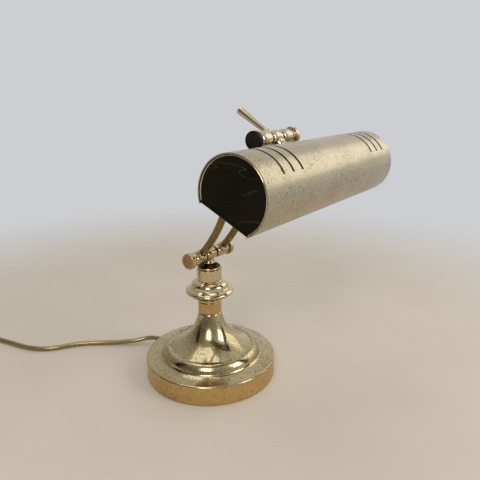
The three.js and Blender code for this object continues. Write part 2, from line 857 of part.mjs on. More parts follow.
function addSwitch(root) {
  const group = new THREE.Group();
  group.position.set(switchCentre[0], switchCentre[1], 0);
  group.rotation.z = rad(switchHeading);
  root.add(group);
  const split = switchHeight * 0.45;
  const plan = new THREE.Shape();
  const [hl, hw, corner] = [switchLength / 2, switchWidth / 2, 8];
  plan.moveTo(-hl + corner, -hw);
  plan.lineTo(hl - corner, -hw);
  plan.quadraticCurveTo(hl, -hw, hl, 0);
  plan.quadraticCurveTo(hl, hw, hl - corner, hw);
  plan.lineTo(-hl + corner, hw);
  plan.quadraticCurveTo(-hl, hw, -hl, 0);
  plan.quadraticCurveTo(-hl, -hw, -hl + corner, -hw);
  const half = (from, to) =>
    new THREE.ExtrudeGeometry(plan, { depth: to - from, bevelEnabled: false, curveSegments: 6 }).translate(0, 0, from);
  const cordBore = cylinderOnX(cordRadius + gap, -hl - 5, hl + 5, 12).translate(0, 0, split + gap / 2);
  const room = block(-hl + 12, hl - 12, -hw + 2.4, hw - 2.4, 1.8, switchHeight - 1.8);
  place(group, "switch_base", shaped(half(0.1, split), { cut: [room, cordBore] }), brownPlastic);
  const windowLength = rockerLength + 2 * gap + 0.6;
  const windowWidth = rockerWidth + 2 * gap;
  const slot = block(-windowLength / 2, windowLength / 2, -windowWidth / 2, windowWidth / 2, 0, 30);
  const cover = shaped(half(split + gap, switchHeight), { cut: [room, cordBore, slot] });
  place(group, "switch_cover", cover, brownPlastic);

  const outline = new THREE.Shape();
  const reach = rockerLength / 2;
  outline.moveTo(-reach, 0.8);
  outline.quadraticCurveTo(-reach * 0.8, -3.6, 0, -4);
  outline.quadraticCurveTo(reach * 0.8, -3.6, reach, 0.8);
  outline.lineTo(reach - 0.3, 2.6);
  outline.lineTo(0, 1.9);
  outline.lineTo(-reach + 0.3, 2.6);
  outline.closePath();
  const rocker = new THREE.ExtrudeGeometry(outline, { depth: rockerWidth, bevelEnabled: false, curveSegments: 4 });
  rocker.translate(0, 0, -rockerWidth / 2).rotateX(Math.PI / 2).rotateY(rad(rockerTilt));
  place(group, "switch_rocker", rocker.translate(0, 0, switchHeight - 0.6), whitePlastic);
}

function addPlug(root) {
  const group = new THREE.Group();
  group.position.set(plugTail[0], plugTail[1], 0);
  root.add(group);
  const middle = plugHeight / 2 + 0.1;
  const [w, l] = [plugWidth / 2, plugLength];
  const outline = new THREE.Shape([
    [0, -4.6],
    [9, -6],
    [16, -w],
    [l, -w],
    [l, w],
    [16, w],
    [9, 6],
    [0, 4.6],
  ].map((p) => new THREE.Vector2(...p)));
  const bevel = 1.6;
  const body = new THREE.ExtrudeGeometry(outline, {
    depth: plugHeight - 2 * bevel,
    bevelSize: bevel,
    bevelThickness: bevel,
    bevelOffset: -bevel,
    bevelSegments: 2,
  });
  place(group, "plug_body", body.translate(0, 0, 0.1 + bevel), brownPlastic);
  for (const [side, tag] of [[-1, "a"], [1, "b"]]) {
    const pin = turnedOnX([
      [0, l + gap],
      [pinRadius, l + gap],
      [pinRadius, l + pinLength - 1.4],
      [pinRadius - 1, l + pinLength],
      [0, l + pinLength],
    ], 12);
    place(group, `plug_pin_${tag}`, pin.translate(0, (side * pinSpacing) / 2, middle), zincSteel);
  }
}

function addCord(root) {
  const section = circle(cordRadius);
  const join = switchHeight * 0.45 + gap / 2;
  const half = switchLength / 2 + gap;
  const run = along([...runPoints, onSwitchAxis(-half - 6, join), onSwitchAxis(-half, join)]);
  place(root, "cord_run", sweep(section, run, 26, 8), goldVinyl);
  addSwitch(root);
  const lead = along([onSwitchAxis(half, join), onSwitchAxis(half + 6, join), ...leadPoints]);
  place(root, "cord_lead", sweep(section, lead, 16, 8), goldVinyl);

  const [inner, outer] = [coilMidRadius - coilHalfBand - cordRadius, coilMidRadius + coilHalfBand + cordRadius];
  const top = 0.1 + coilLayers * 2 * cordRadius;
  const coil = turned([
    [inner, 2],
    [inner + 2, 0.1],
    [outer - 2, 0.1],
    [outer, 2],
    [outer, top - 2],
    [outer - 2, top],
    [inner + 2, top],
    [inner, top - 2],
  ], 28);
  place(root, "cord_coil", coil.translate(coilCentre[0], coilCentre[1], 0), goldVinyl);

  const plugMiddle = plugHeight / 2 + 0.1;
  const tail = along([
    ...tailPoints,
    [plugTail[0] - gap - 4, plugTail[1], plugMiddle],
    [plugTail[0] - gap, plugTail[1], plugMiddle],
  ]);
  place(root, "cord_tail", sweep(section, tail, 10, 8), goldVinyl);
  addPlug(root);
}

addBase(lamp);
addColumn(lamp);
addPivotBlock(lamp);
addArms(lamp);
addShade(lamp);
addCord(lamp);

export default lamp;
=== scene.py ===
"""A brass piano-style desk lamp: a weighted spun base and turned column, a swivelling pivot block, two
S-shaped arms, and a long rolled shade with a tilting lever. Metres, in the row frame, +Z up."""

import math

import bmesh
import bpy
from mathutils import Matrix, Vector


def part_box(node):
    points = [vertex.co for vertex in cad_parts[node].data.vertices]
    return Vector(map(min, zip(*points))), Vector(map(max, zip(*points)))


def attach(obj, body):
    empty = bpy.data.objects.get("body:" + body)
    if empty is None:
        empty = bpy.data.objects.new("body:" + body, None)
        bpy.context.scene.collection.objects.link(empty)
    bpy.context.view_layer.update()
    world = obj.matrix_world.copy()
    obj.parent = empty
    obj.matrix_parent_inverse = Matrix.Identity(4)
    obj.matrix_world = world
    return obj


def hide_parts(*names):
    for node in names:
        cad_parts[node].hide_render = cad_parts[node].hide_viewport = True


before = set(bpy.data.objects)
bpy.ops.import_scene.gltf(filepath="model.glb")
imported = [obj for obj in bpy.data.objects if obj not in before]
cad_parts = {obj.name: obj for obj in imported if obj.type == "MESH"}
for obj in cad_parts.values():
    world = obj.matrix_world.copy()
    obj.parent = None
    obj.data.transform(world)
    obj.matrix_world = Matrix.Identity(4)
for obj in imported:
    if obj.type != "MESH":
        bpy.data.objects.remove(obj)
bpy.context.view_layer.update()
MM = 0.001


# ------------------------------------------------------------------ camera
# At arm's length from the lamp, a little above it and to its left, looking slightly down through a lens
# a little wider than the eye.
camera = bpy.data.objects.new("camera", bpy.data.cameras.new("camera"))
camera.data.lens = 36.52
camera.data.sensor_width = 36.0
camera.data.clip_start = 0.01
camera.location = (-0.3943, -0.3327, 0.3183)
camera_heading = math.atan2(-0.8059, 0.5920)
camera_pitch = 0.2971
camera.rotation_euler = (math.pi / 2 - camera_pitch, 0, camera_heading)
bpy.context.collection.objects.link(camera)
bpy.context.scene.camera = camera


# ------------------------------------------------------------------ floor
# A pale warm studio sheet, matt, with the faint mottle of card. From a third of a metre off it fades
# into the even pale grey of the studio, so no horizon shows.
def linear(colour):
    """Linear RGBA of an sRGB hex string."""
    parts = [int(colour[i : i + 2], 16) / 255 for i in (1, 3, 5)]
    return (*(c / 12.92 if c <= 0.04045 else ((c + 0.055) / 1.055) ** 2.4 for c in parts), 1.0)


def add(tree, kind, settings=None, links=None):
    """A new node. Settings name its properties or its inputs, and links give the socket each input reads."""
    made = tree.nodes.new(kind)
    for key, value in (settings or {}).items():
        if isinstance(key, int) or key in made.inputs:
            made.inputs[key].default_value = value
        else:
            setattr(made, key, value)
    for key, socket in (links or {}).items():
        tree.links.new(socket, made.inputs[key])
    return made


def blank_material(name):
    """An empty material's tree, its Object coordinates and its shader, which is wired to the output."""
    material = bpy.data.materials.new(name)
    material.use_nodes = True
    tree = material.node_tree
    tree.nodes.clear()
    place = add(tree, "ShaderNodeTexCoord").outputs["Object"]
    shader = add(tree, "ShaderNodeBsdfPrincipled")
    add(tree, "ShaderNodeOutputMaterial", links={"Surface": shader.outputs["BSDF"]})
    return material, tree, place, shader


SWEEP = "#cdced1"  # the pale grey that the sheet fades into, the same as the surroundings

card, tree, place, shader = blank_material("studio_card")
mottle = add(tree, "ShaderNodeTexNoise", {"Scale": 9.0, "Detail": 5.0}, {"Vector": place})
tone = add(
    tree,
    "ShaderNodeMix",
    {"data_type": "RGBA", 6: linear("#c8bcaa"), 7: linear("#d2c7b7")},
    {0: mottle.outputs["Fac"]},
)
tree.links.new(tone.outputs[2], shader.inputs["Base Color"])
shader.inputs["Roughness"].default_value = 0.85
distance = add(tree, "ShaderNodeVectorMath", {"operation": "LENGTH"}, {0: place})
far_off = add(
    tree,
    "ShaderNodeMapRange",
    {"interpolation_type": "SMOOTHSTEP", "From Min": 0.36, "From Max": 0.9},
    {"Value": distance.outputs["Value"]},
)
glow = add(tree, "ShaderNodeEmission", {"Color": linear(SWEEP)})
sheet = add(
    tree,
    "ShaderNodeMixShader",
    links={0: far_off.outputs["Result"], 1: shader.outputs["BSDF"], 2: glow.outputs["Emission"]},
)
tree.links.new(sheet.outputs["Shader"], tree.nodes["Material Output"].inputs["Surface"])
floor_mesh = bpy.data.meshes.new("floor")
floor_mesh.from_pydata([(-3, -3, 0), (3, -3, 0), (3, 3, 0), (-3, 3, 0)], [], [(0, 1, 2, 3)])
floor = bpy.data.objects.new("floor", floor_mesh)
floor.data.materials.append(card)
bpy.context.collection.objects.link(floor)


# ------------------------------------------------------------------ light
# A white studio: a soft window behind the camera, a second one to its right, a weak fill on the far side
# and a soft light overhead. Two tall dark flags in the surroundings give the brass its dark streaks.
def panel(name, place, aim, size, power, colour):
    """A soft rectangular light at place that faces aim."""
    lamp = bpy.data.lights.new(name, "AREA")
    lamp.shape = "RECTANGLE"
    lamp.size, lamp.size_y = size
    lamp.energy = power
    lamp.color = linear(colour)[:3]
    light = bpy.data.objects.new(name, lamp)
    light.location = place
    light.rotation_euler = (Vector(aim) - Vector(place)).to_track_quat("-Z", "Y").to_euler()
    light.visible_camera = False
    bpy.context.collection.objects.link(light)


panel("window", (-1.34, -0.72, 1.12), (0.0, 0.0, 0.12), (0.62, 0.78), 11.0, "#ffffff")
panel("side_window", (0.38, -1.46, 0.98), (0.0, 0.0, 0.12), (0.66, 0.92), 8.0, "#fbfcff")
panel("fill", (1.45, -0.7, 0.95), (0.0, 0.0, 0.25), (1.15, 0.95), 3.1, "#fffdf8")
panel("overhead", (-0.1, 0.3, 1.8), (0.0, 0.0, 0.0), (1.3, 1.1), 5.0, "#f7f9ff")

world = bpy.data.worlds.new("studio")
world.use_nodes = True
tree = world.node_tree
tree.nodes.clear()
toward = add(tree, "ShaderNodeTexCoord").outputs["Generated"]
facing = add(
    tree,
    "ShaderNodeVectorMath",
    {"operation": "DOT_PRODUCT", 1: (0.95, -0.15, 0.27)},
    {0: toward},
)
spread = add(
    tree,
    "ShaderNodeMapRange",
    {"From Min": -0.75, "From Max": 0.95, "To Min": 0.0, "To Max": 1.0},
    {"Value": facing.outputs["Value"]},
)
room = add(
    tree,
    "ShaderNodeMix",
    {"data_type": "RGBA", 6: linear("#787571"), 7: linear("#e4e4e4")},
    {0: spread.outputs["Result"]},
)
flattened = add(tree, "ShaderNodeVectorMath", {"operation": "MULTIPLY", 1: (1.0, 1.0, 0.35)}, {0: toward})
level = add(tree, "ShaderNodeVectorMath", {"operation": "NORMALIZE"}, {0: flattened.outputs["Vector"]})
for heading in (140.0, 308.0):
    flag_way = (math.cos(math.radians(heading)), math.sin(math.radians(heading)), 0.2)
    beside = add(
        tree,
        "ShaderNodeVectorMath",
        {"operation": "DOT_PRODUCT", 1: Vector(flag_way).normalized()},
        {0: level.outputs["Vector"]},
    )
    flag = add(
        tree,
        "ShaderNodeMapRange",
        {"From Min": 0.978, "From Max": 0.99, "To Min": 0.0, "To Max": 1.0},
        {"Value": beside.outputs["Value"]},
    )
    room = add(
        tree,
        "ShaderNodeMix",
        {"data_type": "RGBA", 7: linear("#1d1a17")},
        {0: flag.outputs["Result"], 6: room.outputs[2]},
    )
seen = add(tree, "ShaderNodeLightPath").outputs["Is Camera Ray"]
sky = add(
    tree,
    "ShaderNodeMix",
    {"data_type": "RGBA", 7: linear(SWEEP)},
    {0: seen, 6: room.outputs[2]},
)
backdrop = add(tree, "ShaderNodeBackground", {"Strength": 1.0}, {"Color": sky.outputs[2]})
add(tree, "ShaderNodeOutputWorld", links={"Surface": backdrop.outputs["Background"]})
bpy.context.scene.world = world
bpy.context.scene.view_settings.view_transform = "Standard"


# ------------------------------------------------------------------ mains flex
# Round gold PVC flex, 5.6 mm, 1.8 m from the base to the plug. It lies loose on the table, runs through
# the in-line switch, and what is left over is wound into a flat coil of two layers, held by a wire tie.
FLEX_RADIUS = 2.8
RELIEF_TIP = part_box("strain_relief")[1].y / MM
FLEX_EXIT = (0.0, RELIEF_TIP - 5.0, 10.0)
SWITCH_CENTRE = (-133.0, 329.0)
SWITCH_HEADING = math.radians(105.4)
COIL_CENTRE = (-192.0, 318.0)
COIL_MIDDLE = 32.6
COIL_HALF_BAND = 8.4
COIL_STANDOFF = 5.9  # how far outside the coil its two ends come in and leave
FLEX_REST = 2.9  # height of the flex's axis where it lies on the table


def on_switch(distance, height=6.63):
    """A point on the switch's long axis."""
    return (
        SWITCH_CENTRE[0] + math.cos(SWITCH_HEADING) * distance,
        SWITCH_CENTRE[1] + math.sin(SWITCH_HEADING) * distance,
        height,
    )


def swing(fraction):
    """A smooth step from 0 to 1."""
    return 0.5 - 0.5 * math.cos(math.pi * min(max(fraction, 0.0), 1.0))


def coil_points():
    """In at the coil's outside, inwards in the lower layer, up, outwards in the upper one, and out."""
    points = []
    outer, inner = COIL_MIDDLE + COIL_HALF_BAND, COIL_MIDDLE - COIL_HALF_BAND
    start, layer, change, ease = 185, 1045, 60, 35  # degrees
    rise = start + layer
    top = rise + change
    end = top + layer
    for angle in range(start - 20, end + ease, 15):
        if angle < start:
            radius = outer + COIL_STANDOFF * (1 - swing((angle - start + ease) / ease))
        elif angle < rise:
            radius = outer - (outer - inner) * (angle - start) / layer
        elif angle < top:
            radius = inner
        elif angle < end:
            radius = inner + (outer - inner) * (angle - top) / layer
        else:
            radius = outer + COIL_STANDOFF * swing((angle - end) / ease)
        climb = 2 * FLEX_RADIUS * swing((angle - rise + 15) / 90)
        height = FLEX_REST + climb - 0.9 * swing((angle - end) / ease)
        turn = math.radians(angle)
        points.append(
            (COIL_CENTRE[0] + math.cos(turn) * radius, COIL_CENTRE[1] + math.sin(turn) * radius, height)
        )
    return points


flex_route = [
    FLEX_EXIT,
    (0, 90.3, 10),
    (0, 94, 10),
    (-1.7, 100, 9.2),
    (-6, 107, 7.8),
    (-13.4, 114.6, 6),
    (-22.4, 126, 4.4),
    (-31.5, 138.4, 3.4),
    (-40.6, 150.4, 2.9),
    (-50, 161.6, 2.9),
    (-60, 171.8, 2.9),
    (-71.7, 180.2, 2.9),
    (-83.9, 187.4, 2.9),
    (-94.2, 197, 2.9),
    (-102.2, 209.8, 2.9),
    (-107.8, 227, 2.9),
    (-112, 248, 2.9),
    (-116.2, 268, 2.9),
    (-120.2, 284, 3.8),
    on_switch(-36.3),
    on_switch(-30.3),
    on_switch(-15),
    on_switch(0),
    on_switch(15),
    on_switch(30.3),
    on_switch(36.3),
    (-146.4, 374, 4.4),
    (-153, 387, 2.9),
    (-165, 397, 2.9),
    (-182, 400, 2.9),
    (-201, 395, 2.9),
    (-216, 384, 2.9),
    (-226, 367.5, 2.9),
    (-230.4, 354, 2.9),
    (-232.4, 341.3, 2.9),
    *coil_points(),
    (-232.4, 294.7, 7.6),
    (-229, 283, 6.6),
    (-226.5, 271.5, 5.6),
    (-221.5, 261.5, 5),
    (-213.5, 254.8, 5.2),
    (-203.3, 252, 6.9),
    (-199.3, 252, 6.9),
]

# Extruded soft PVC with a gold pigment: semi-gloss and faintly mottled, with dull rubs.
gold_pvc, tree, place, shader = blank_material("gold_pvc_flex")
streak = add(tree, "ShaderNodeTexNoise", {"Scale": 260.0, "Detail": 4.0}, {"Vector": place})
rub = add(tree, "ShaderNodeTexNoise", {"Scale": 38.0, "Detail": 3.0}, {"Vector": place})
tone = add(
    tree,
    "ShaderNodeMix",
    {"data_type": "RGBA", 6: linear("#8b7947"), 7: linear("#ab9867")},
    {0: streak.outputs["Fac"]},
)
dull = add(
    tree,
    "ShaderNodeMapRange",
    {"From Min": 0.35, "From Max": 0.7, "To Min": 0.15, "To Max": 0.34},
    {"Value": rub.outputs["Fac"]},
)
grain = add(tree, "ShaderNodeBump", {"Strength": 0.2, "Distance": 0.0001}, {"Height": streak.outputs["Fac"]})
tree.links.new(tone.outputs[2], shader.inputs["Base Color"])
tree.links.new(dull.outputs["Result"], shader.inputs["Roughness"])
tree.links.new(grain.outputs["Normal"], shader.inputs["Normal"])
shader.inputs["Metallic"].default_value = 0.7
shader.inputs["IOR"].default_value = 1.53

flex_curve = bpy.data.curves.new("mains_flex", "CURVE")
flex_curve.dimensions = "3D"
flex_curve.resolution_u = 6
flex_curve.bevel_depth = FLEX_RADIUS * MM
flex_curve.bevel_resolution = 5
flex_curve.use_fill_caps = True
flex_line = flex_curve.splines.new("BEZIER")
flex_line.bezier_points.add(len(flex_route) - 1)
for knot, point in zip(flex_line.bezier_points, flex_route):
    knot.co = Vector(point) * MM
    knot.handle_left_type = knot.handle_right_type = "AUTO"
flex = bpy.data.objects.new("mains_flex", flex_curve)
flex.data.materials.append(gold_pvc)
bpy.context.collection.objects.link(flex)
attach(flex, "base")
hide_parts("cord_run", "cord_lead", "cord_coil", "cord_tail")


# ------------------------------------------------------------------ base
# Sheet brass spun over a former, polished on top and left satin round the wall, with a stepped ring and
# a trumpet that runs up to the neck. The old lacquer has gone in fine dark specks.
def flowing(points, steps=6):
    """A smooth line through [radius, height] pairs."""
    line = []
    last = len(points) - 1
    for i in range(last):
        a, b = Vector(points[max(i - 1, 0)]), Vector(points[i])
        c, d = Vector(points[i + 1]), Vector(points[min(i + 2, last)])
        for step in range(steps):
            t = step / steps
            p = b * 2 + (c - a) * t + (a * 2 - b * 5 + c * 4 - d) * t**2 + (b * 3 - a - c * 3 + d) * t**3
            line.append(tuple(p / 2))
    return [*line, tuple(points[-1])]


def eased(points, radius=0.4, steps=4):
    """The same closed outline with its corners rounded, and held flat right up to each rounding."""
    rounded = []
    for i, point in enumerate(points):
        p = Vector(point)
        back, ahead = Vector(points[i - 1]) - p, Vector(points[(i + 1) % len(points)]) - p
        turn = math.pi - back.angle(ahead)
        if turn < 0.25 or (p.x < 1e-6):
            rounded.append(tuple(p))
            continue
        reach = min(radius * math.tan(turn / 2), 0.4 * back.length, 0.4 * ahead.length)
        start, end = p + back.normalized() * reach, p + ahead.normalized() * reach
        rounded.append(tuple(p + back.normalized() * reach * 1.15))
        for step in range(steps + 1):
            t = step / steps
            rounded.append(tuple(start * (1 - t) ** 2 + p * (2 * t * (1 - t)) + end * t**2))
        rounded.append(tuple(p + ahead.normalized() * reach * 1.15))
    return rounded


def bezier(knots, steps):
    """Points along a cubic curve, from its start, its two handles and its end."""
    line = []
    for k in range(steps + 1):
        t = k / steps
        weights = [(1 - t) ** 3, 3 * t * (1 - t) ** 2, 3 * t**2 * (1 - t), t**3]
        line.append(tuple(sum(w * knot[i] for w, knot in zip(weights, knots)) for i in range(len(knots[0]))))
    return line


def piece_from(shape, name, stand=None, crease=None):
    """The piece that a shape describes, moved by stand. An edge that turns past crease degrees is sharp."""
    bmesh.ops.recalc_face_normals(shape, faces=shape.faces)
    mesh = bpy.data.meshes.new(name)
    shape.to_mesh(mesh)
    shape.free()
    mesh.transform(stand or Matrix.Identity(4))
    mesh.polygons.foreach_set("use_smooth", [True] * len(mesh.polygons))
    if crease:
        mesh.set_sharp_from_angle(angle=math.radians(crease))
    piece = bpy.data.objects.new(name, mesh)
    bpy.context.collection.objects.link(piece)
    return piece


def turned(name, profile, stand=None, segments=128, seat=None):
    """A lathed piece from a closed outline of [radius, height] pairs in mm. stand places its axis, and seat
    gives a new height from a point's own x, y and height."""
    shape = bmesh.new()
    rings = []
    for radius, height in profile:
        count = 1 if radius < 1e-6 else segments
        ring = []
        for k in range(count):
            angle = 2 * math.pi * k / count
            x, y = radius * math.cos(angle), radius * math.sin(angle)
            z = seat(x, y, height) if seat else height
            ring.append(shape.verts.new(Vector((x, y, z)) * MM))
        rings.append(ring)
    pairs = list(zip(rings, rings[1:]))
    if len(rings[0]) > 1:
        pairs.append((rings[-1], rings[0]))
    for low, high in pairs:
        for k in range(segments):
            under = (low[k % len(low)], low[(k + 1) % len(low)])
            over = (high[(k + 1) % len(high)], high[k % len(high)])
            corners = list(dict.fromkeys(under + over))
            if len(corners) > 2:
                shape.faces.new(corners)
    return piece_from(shape, name, stand)


def fitted(piece, finish, body, slot, *nodes):
    """Gives a piece its finish and its body, and hides the CAD nodes that it stands for."""
    piece.data.materials.clear()
    piece.data.materials.append(finish)
    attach(piece, body)
    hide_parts(*nodes)
    return piece


def brass(
    name, light, dark, gloss, dull, specks=0.5, ripple=0.00002, stain="#5c4423", sparse=0.0, grain=560.0
):
    """Aged brass: cloudy colour, roughness between gloss and dull, faint brown stains, and dark specks a
    millimetre or so across, thicker in some places, where the lacquer has let the air in."""
    material, tree, place, shader = blank_material(name)
    cloud = add(tree, "ShaderNodeTexNoise", {"Scale": 34.0, "Detail": 6.0}, {"Vector": place})
    blotch = add(
        tree, "ShaderNodeTexNoise", {"Scale": 150.0, "Detail": 7.0, "Roughness": 0.66}, {"Vector": place}
    )
    fine = add(
        tree, "ShaderNodeTexNoise", {"Scale": grain, "Detail": 2.0, "Roughness": 0.5}, {"Vector": place}
    )
    stained = add(
        tree,
        "ShaderNodeMapRange",
        {"From Min": 0.5, "From Max": 0.78, "To Min": 0.0, "To Max": 0.4 * specks},
        {"Value": blotch.outputs["Fac"]},
    )
    crowded = add(
        tree,
        "ShaderNodeMapRange",
        {"From Min": 0.42, "From Max": 0.62, "To Min": 0.45 * specks, "To Max": specks},
        {"Value": cloud.outputs["Fac"]},
    )
    pit = add(
        tree,
        "ShaderNodeMapRange",
        {"From Min": 0.5 + sparse, "From Max": 0.6 + sparse, "To Min": 0.0, "To Max": 1.0},
        {"Value": fine.outputs["Fac"]},
    )
    pitted = add(
        tree,
        "ShaderNodeMath",
        {"operation": "MULTIPLY"},
        {0: pit.outputs["Result"], 1: crowded.outputs["Result"]},
    )
    tone = add(
        tree,
        "ShaderNodeMix",
        {"data_type": "RGBA", 6: linear(light), 7: linear(dark)},
        {0: cloud.outputs["Fac"]},
    )
    aged = add(
        tree,
        "ShaderNodeMix",
        {"data_type": "RGBA", 7: linear(stain)},
        {0: stained.outputs["Result"], 6: tone.outputs[2]},
    )
    speckled = add(
        tree,
        "ShaderNodeMix",
        {"data_type": "RGBA", 7: linear("#33291a")},
        {0: pitted.outputs["Value"], 6: aged.outputs[2]},
    )
    wear = add(
        tree,
        "ShaderNodeMapRange",
        {"From Min": 0.35, "From Max": 0.65, "To Min": gloss, "To Max": dull},
        {"Value": cloud.outputs["Fac"]},
    )
    rough = add(
        tree,
        "ShaderNodeMath",
        {"operation": "MULTIPLY_ADD", 1: 0.3},
        {0: pitted.outputs["Value"], 2: wear.outputs["Result"]},
    )
    worn = add(
        tree,
        "ShaderNodeMath",
        {"operation": "MULTIPLY_ADD", 1: 0.15},
        {0: stained.outputs["Result"], 2: rough.outputs["Value"]},
    )
    depth = add(
        tree,
        "ShaderNodeMath",
        {"operation": "MULTIPLY_ADD", 1: -0.6},
        {0: pitted.outputs["Value"], 2: blotch.outputs["Fac"]},
    )
    bump = add(
        tree, "ShaderNodeBump", {"Strength": 0.6, "Distance": ripple}, {"Height": depth.outputs["Value"]}
    )
    tree.links.new(speckled.outputs[2], shader.inputs["Base Color"])
    tree.links.new(worn.outputs["Value"], shader.inputs["Roughness"])
    tree.links.new(bump.outputs["Normal"], shader.inputs["Normal"])
    shader.inputs["Metallic"].default_value = 1.0
    return material


# Spun and buffed, then left for years: mirror-like pale straw under an even dark speckle.
speckled_brass = brass(
    "speckled_buffed_brass", "#d3c299", "#b6a376", 0.08, 0.16, 0.6, sparse=-0.01, grain=620.0
)
# The wall was never buffed: satin, and a warmer gold.
satin_brass = brass("satin_brass", "#dfc083", "#c6a56a", 0.24, 0.34, 0.45, sparse=0.02)

base_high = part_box("base_shell")[1]
BASE_RADIUS = base_high.x / MM
NECK_HEIGHT = base_high.z / MM
BASE_WALL = 22.7
SHEET = 1.2
BORE = 5.3  # for the threaded tube, all the way up the column

step = flowing(
    [(59.0, 24.0), (57.6, 25.0), (56.6, 26.6), (55.8, 29.0), (54.3, 31.6), (52.2, 33.8), (50.4, 34.8)], 5
)
ridge = flowing([(49.6, 34.9), (48.6, 34.7), (47.8, 34.2)], 4)
trumpet = bezier([(46.9, 34.3), (23.4, 44.6), (18.0, NECK_HEIGHT - 20), (13.0, NECK_HEIGHT)], 40)
outside = [
    (BASE_RADIUS - 0.45, 0.6),
    (BASE_RADIUS - 0.12, 0.75),
    (BASE_RADIUS, 1.2),
    (BASE_RADIUS, 1.7),
    (BASE_RADIUS, BASE_WALL - 2.1),
    (BASE_RADIUS, BASE_WALL - 1.6),
    (BASE_RADIUS - 0.15, BASE_WALL - 0.8),
    (BASE_RADIUS - 0.8, BASE_WALL - 0.15),
    (BASE_RADIUS - 1.6, BASE_WALL),
    *step,
    *ridge,
    *trumpet,
]
inside = [(r - SHEET, z - 0.3) if z < 24 else (r - 0.9, z - 1.3) for r, z in outside]
inside = [(r, z) for r, z in inside if z < NECK_HEIGHT - 3.0]
inside = [(BASE_RADIUS - SHEET, 0.6), *inside[4:]]
neck = [(BORE, NECK_HEIGHT), (BORE, NECK_HEIGHT - SHEET), (11.6, NECK_HEIGHT - SHEET)]
base_shell = turned("base_shell_spun", [*outside, *neck, *inside[::-1]], segments=192)
fitted(base_shell, speckled_brass, "base", "polished_brass", "base_shell")
base_shell.data.materials.append(satin_brass)
for face in base_shell.data.polygons:
    low = min(base_shell.data.vertices[v].co.z for v in face.vertices)
    radius = Vector(face.center[:2]).length
    if low < (BASE_WALL - 1.7) * MM and radius > (BASE_RADIUS - 0.2) * MM:
        face.material_index = 1


# ------------------------------------------------------------------ strain relief
# A moulded brown sleeve that grips the flex where it leaves the back of the base: a head behind a
# collar, then a soft ribbed taper.

# Injection moulded, spark-eroded tool: an even fine grain, half matt, a little lighter where it is rubbed.
moulded_pvc, tree, place, shader = blank_material("moulded_brown_pvc")
pores = add(tree, "ShaderNodeTexNoise", {"Scale": 1400.0, "Detail": 3.0}, {"Vector": place})
rub = add(tree, "ShaderNodeTexNoise", {"Scale": 60.0, "Detail": 4.0}, {"Vector": place})
tone = add(
    tree,
    "ShaderNodeMix",
    {"data_type": "RGBA", 6: linear("#574426"), 7: linear("#7a6238")},
    {0: rub.outputs["Fac"]},
)
dull = add(
    tree,
    "ShaderNodeMapRange",
    {"From Min": 0.3, "From Max": 0.7, "To Min": 0.36, "To Max": 0.55},
    {"Value": rub.outputs["Fac"]},
)
grain = add(tree, "ShaderNodeBump", {"Strength": 0.3, "Distance": 0.00008}, {"Height": pores.outputs["Fac"]})
tree.links.new(tone.outputs[2], shader.inputs["Base Color"])
tree.links.new(dull.outputs["Result"], shader.inputs["Roughness"])
tree.links.new(grain.outputs["Normal"], shader.inputs["Normal"])
shader.inputs["IOR"].default_value = 1.52

along_back = Matrix.Translation((0, BASE_RADIUS * MM, 10 * MM)) @ Matrix.Rotation(-math.pi / 2, 4, "X")
taper = []
for rib in range(5):
    z = 3.4 + rib * 2.3
    wide = 4.9 - rib * 0.3
    taper += [(wide, z), (wide, z + 1.3), (wide - 0.55, z + 1.6), (wide - 0.6, z + 2.0)]
relief_profile = eased(
    [
        (2.9, -5.0),
        (6.1, -5.0),
        (6.1, -1.9),
        (5.2, -1.9),
        (5.2, 0.3),
        (6.4, 0.3),
        (6.4, 1.8),
        (5.0, 2.6),
        *taper,
        (3.5, 15.0),
        (2.9, 15.0),
    ],
    0.35,
    2,
)
relief = turned("strain_relief_sleeve", relief_profile, along_back, 64)
fitted(relief, moulded_pvc, "base", "brown_plastic", "strain_relief")


# ------------------------------------------------------------------ underside
# Cast iron gives the base its weight, under a zinc plated cover with a felt disc glued on. A threaded
# tube clamps the whole column down on the iron.

# Bright zinc with its faint bluish crystal bloom.
zinc_plate, tree, place, shader = blank_material("zinc_plated_steel")
bloom = add(tree, "ShaderNodeTexVoronoi", {"Scale": 420.0}, {"Vector": place})
tone = add(
    tree,
    "ShaderNodeMix",
    {"data_type": "RGBA", 6: linear("#9fa2a3"), 7: linear("#c3c4c1")},
    {0: bloom.outputs["Distance"]},
)
haze = add(
    tree,
    "ShaderNodeMapRange",
    {"From Min": 0.0, "From Max": 0.7, "To Min": 0.28, "To Max": 0.45},
    {"Value": bloom.outputs["Distance"]},
)
tree.links.new(tone.outputs[2], shader.inputs["Base Color"])
tree.links.new(haze.outputs["Result"], shader.inputs["Roughness"])
shader.inputs["Metallic"].default_value = 1.0

# Sand cast and left black: coarse, dull, with a little rust.
cast_iron, tree, place, shader = blank_material("cast_iron")
sand = add(tree, "ShaderNodeTexNoise", {"Scale": 650.0, "Detail": 6.0}, {"Vector": place})
rust = add(tree, "ShaderNodeTexNoise", {"Scale": 45.0, "Detail": 6.0}, {"Vector": place})
tone = add(
    tree,
    "ShaderNodeMix",
    {"data_type": "RGBA", 6: linear("#2b2a29"), 7: linear("#4f3b2c")},
    {0: rust.outputs["Fac"]},
)
lumps = add(tree, "ShaderNodeBump", {"Strength": 0.7, "Distance": 0.0004}, {"Height": sand.outputs["Fac"]})
tree.links.new(tone.outputs[2], shader.inputs["Base Color"])
tree.links.new(lumps.outputs["Normal"], shader.inputs["Normal"])
shader.inputs["Roughness"].default_value = 0.75
shader.inputs["Metallic"].default_value = 0.6

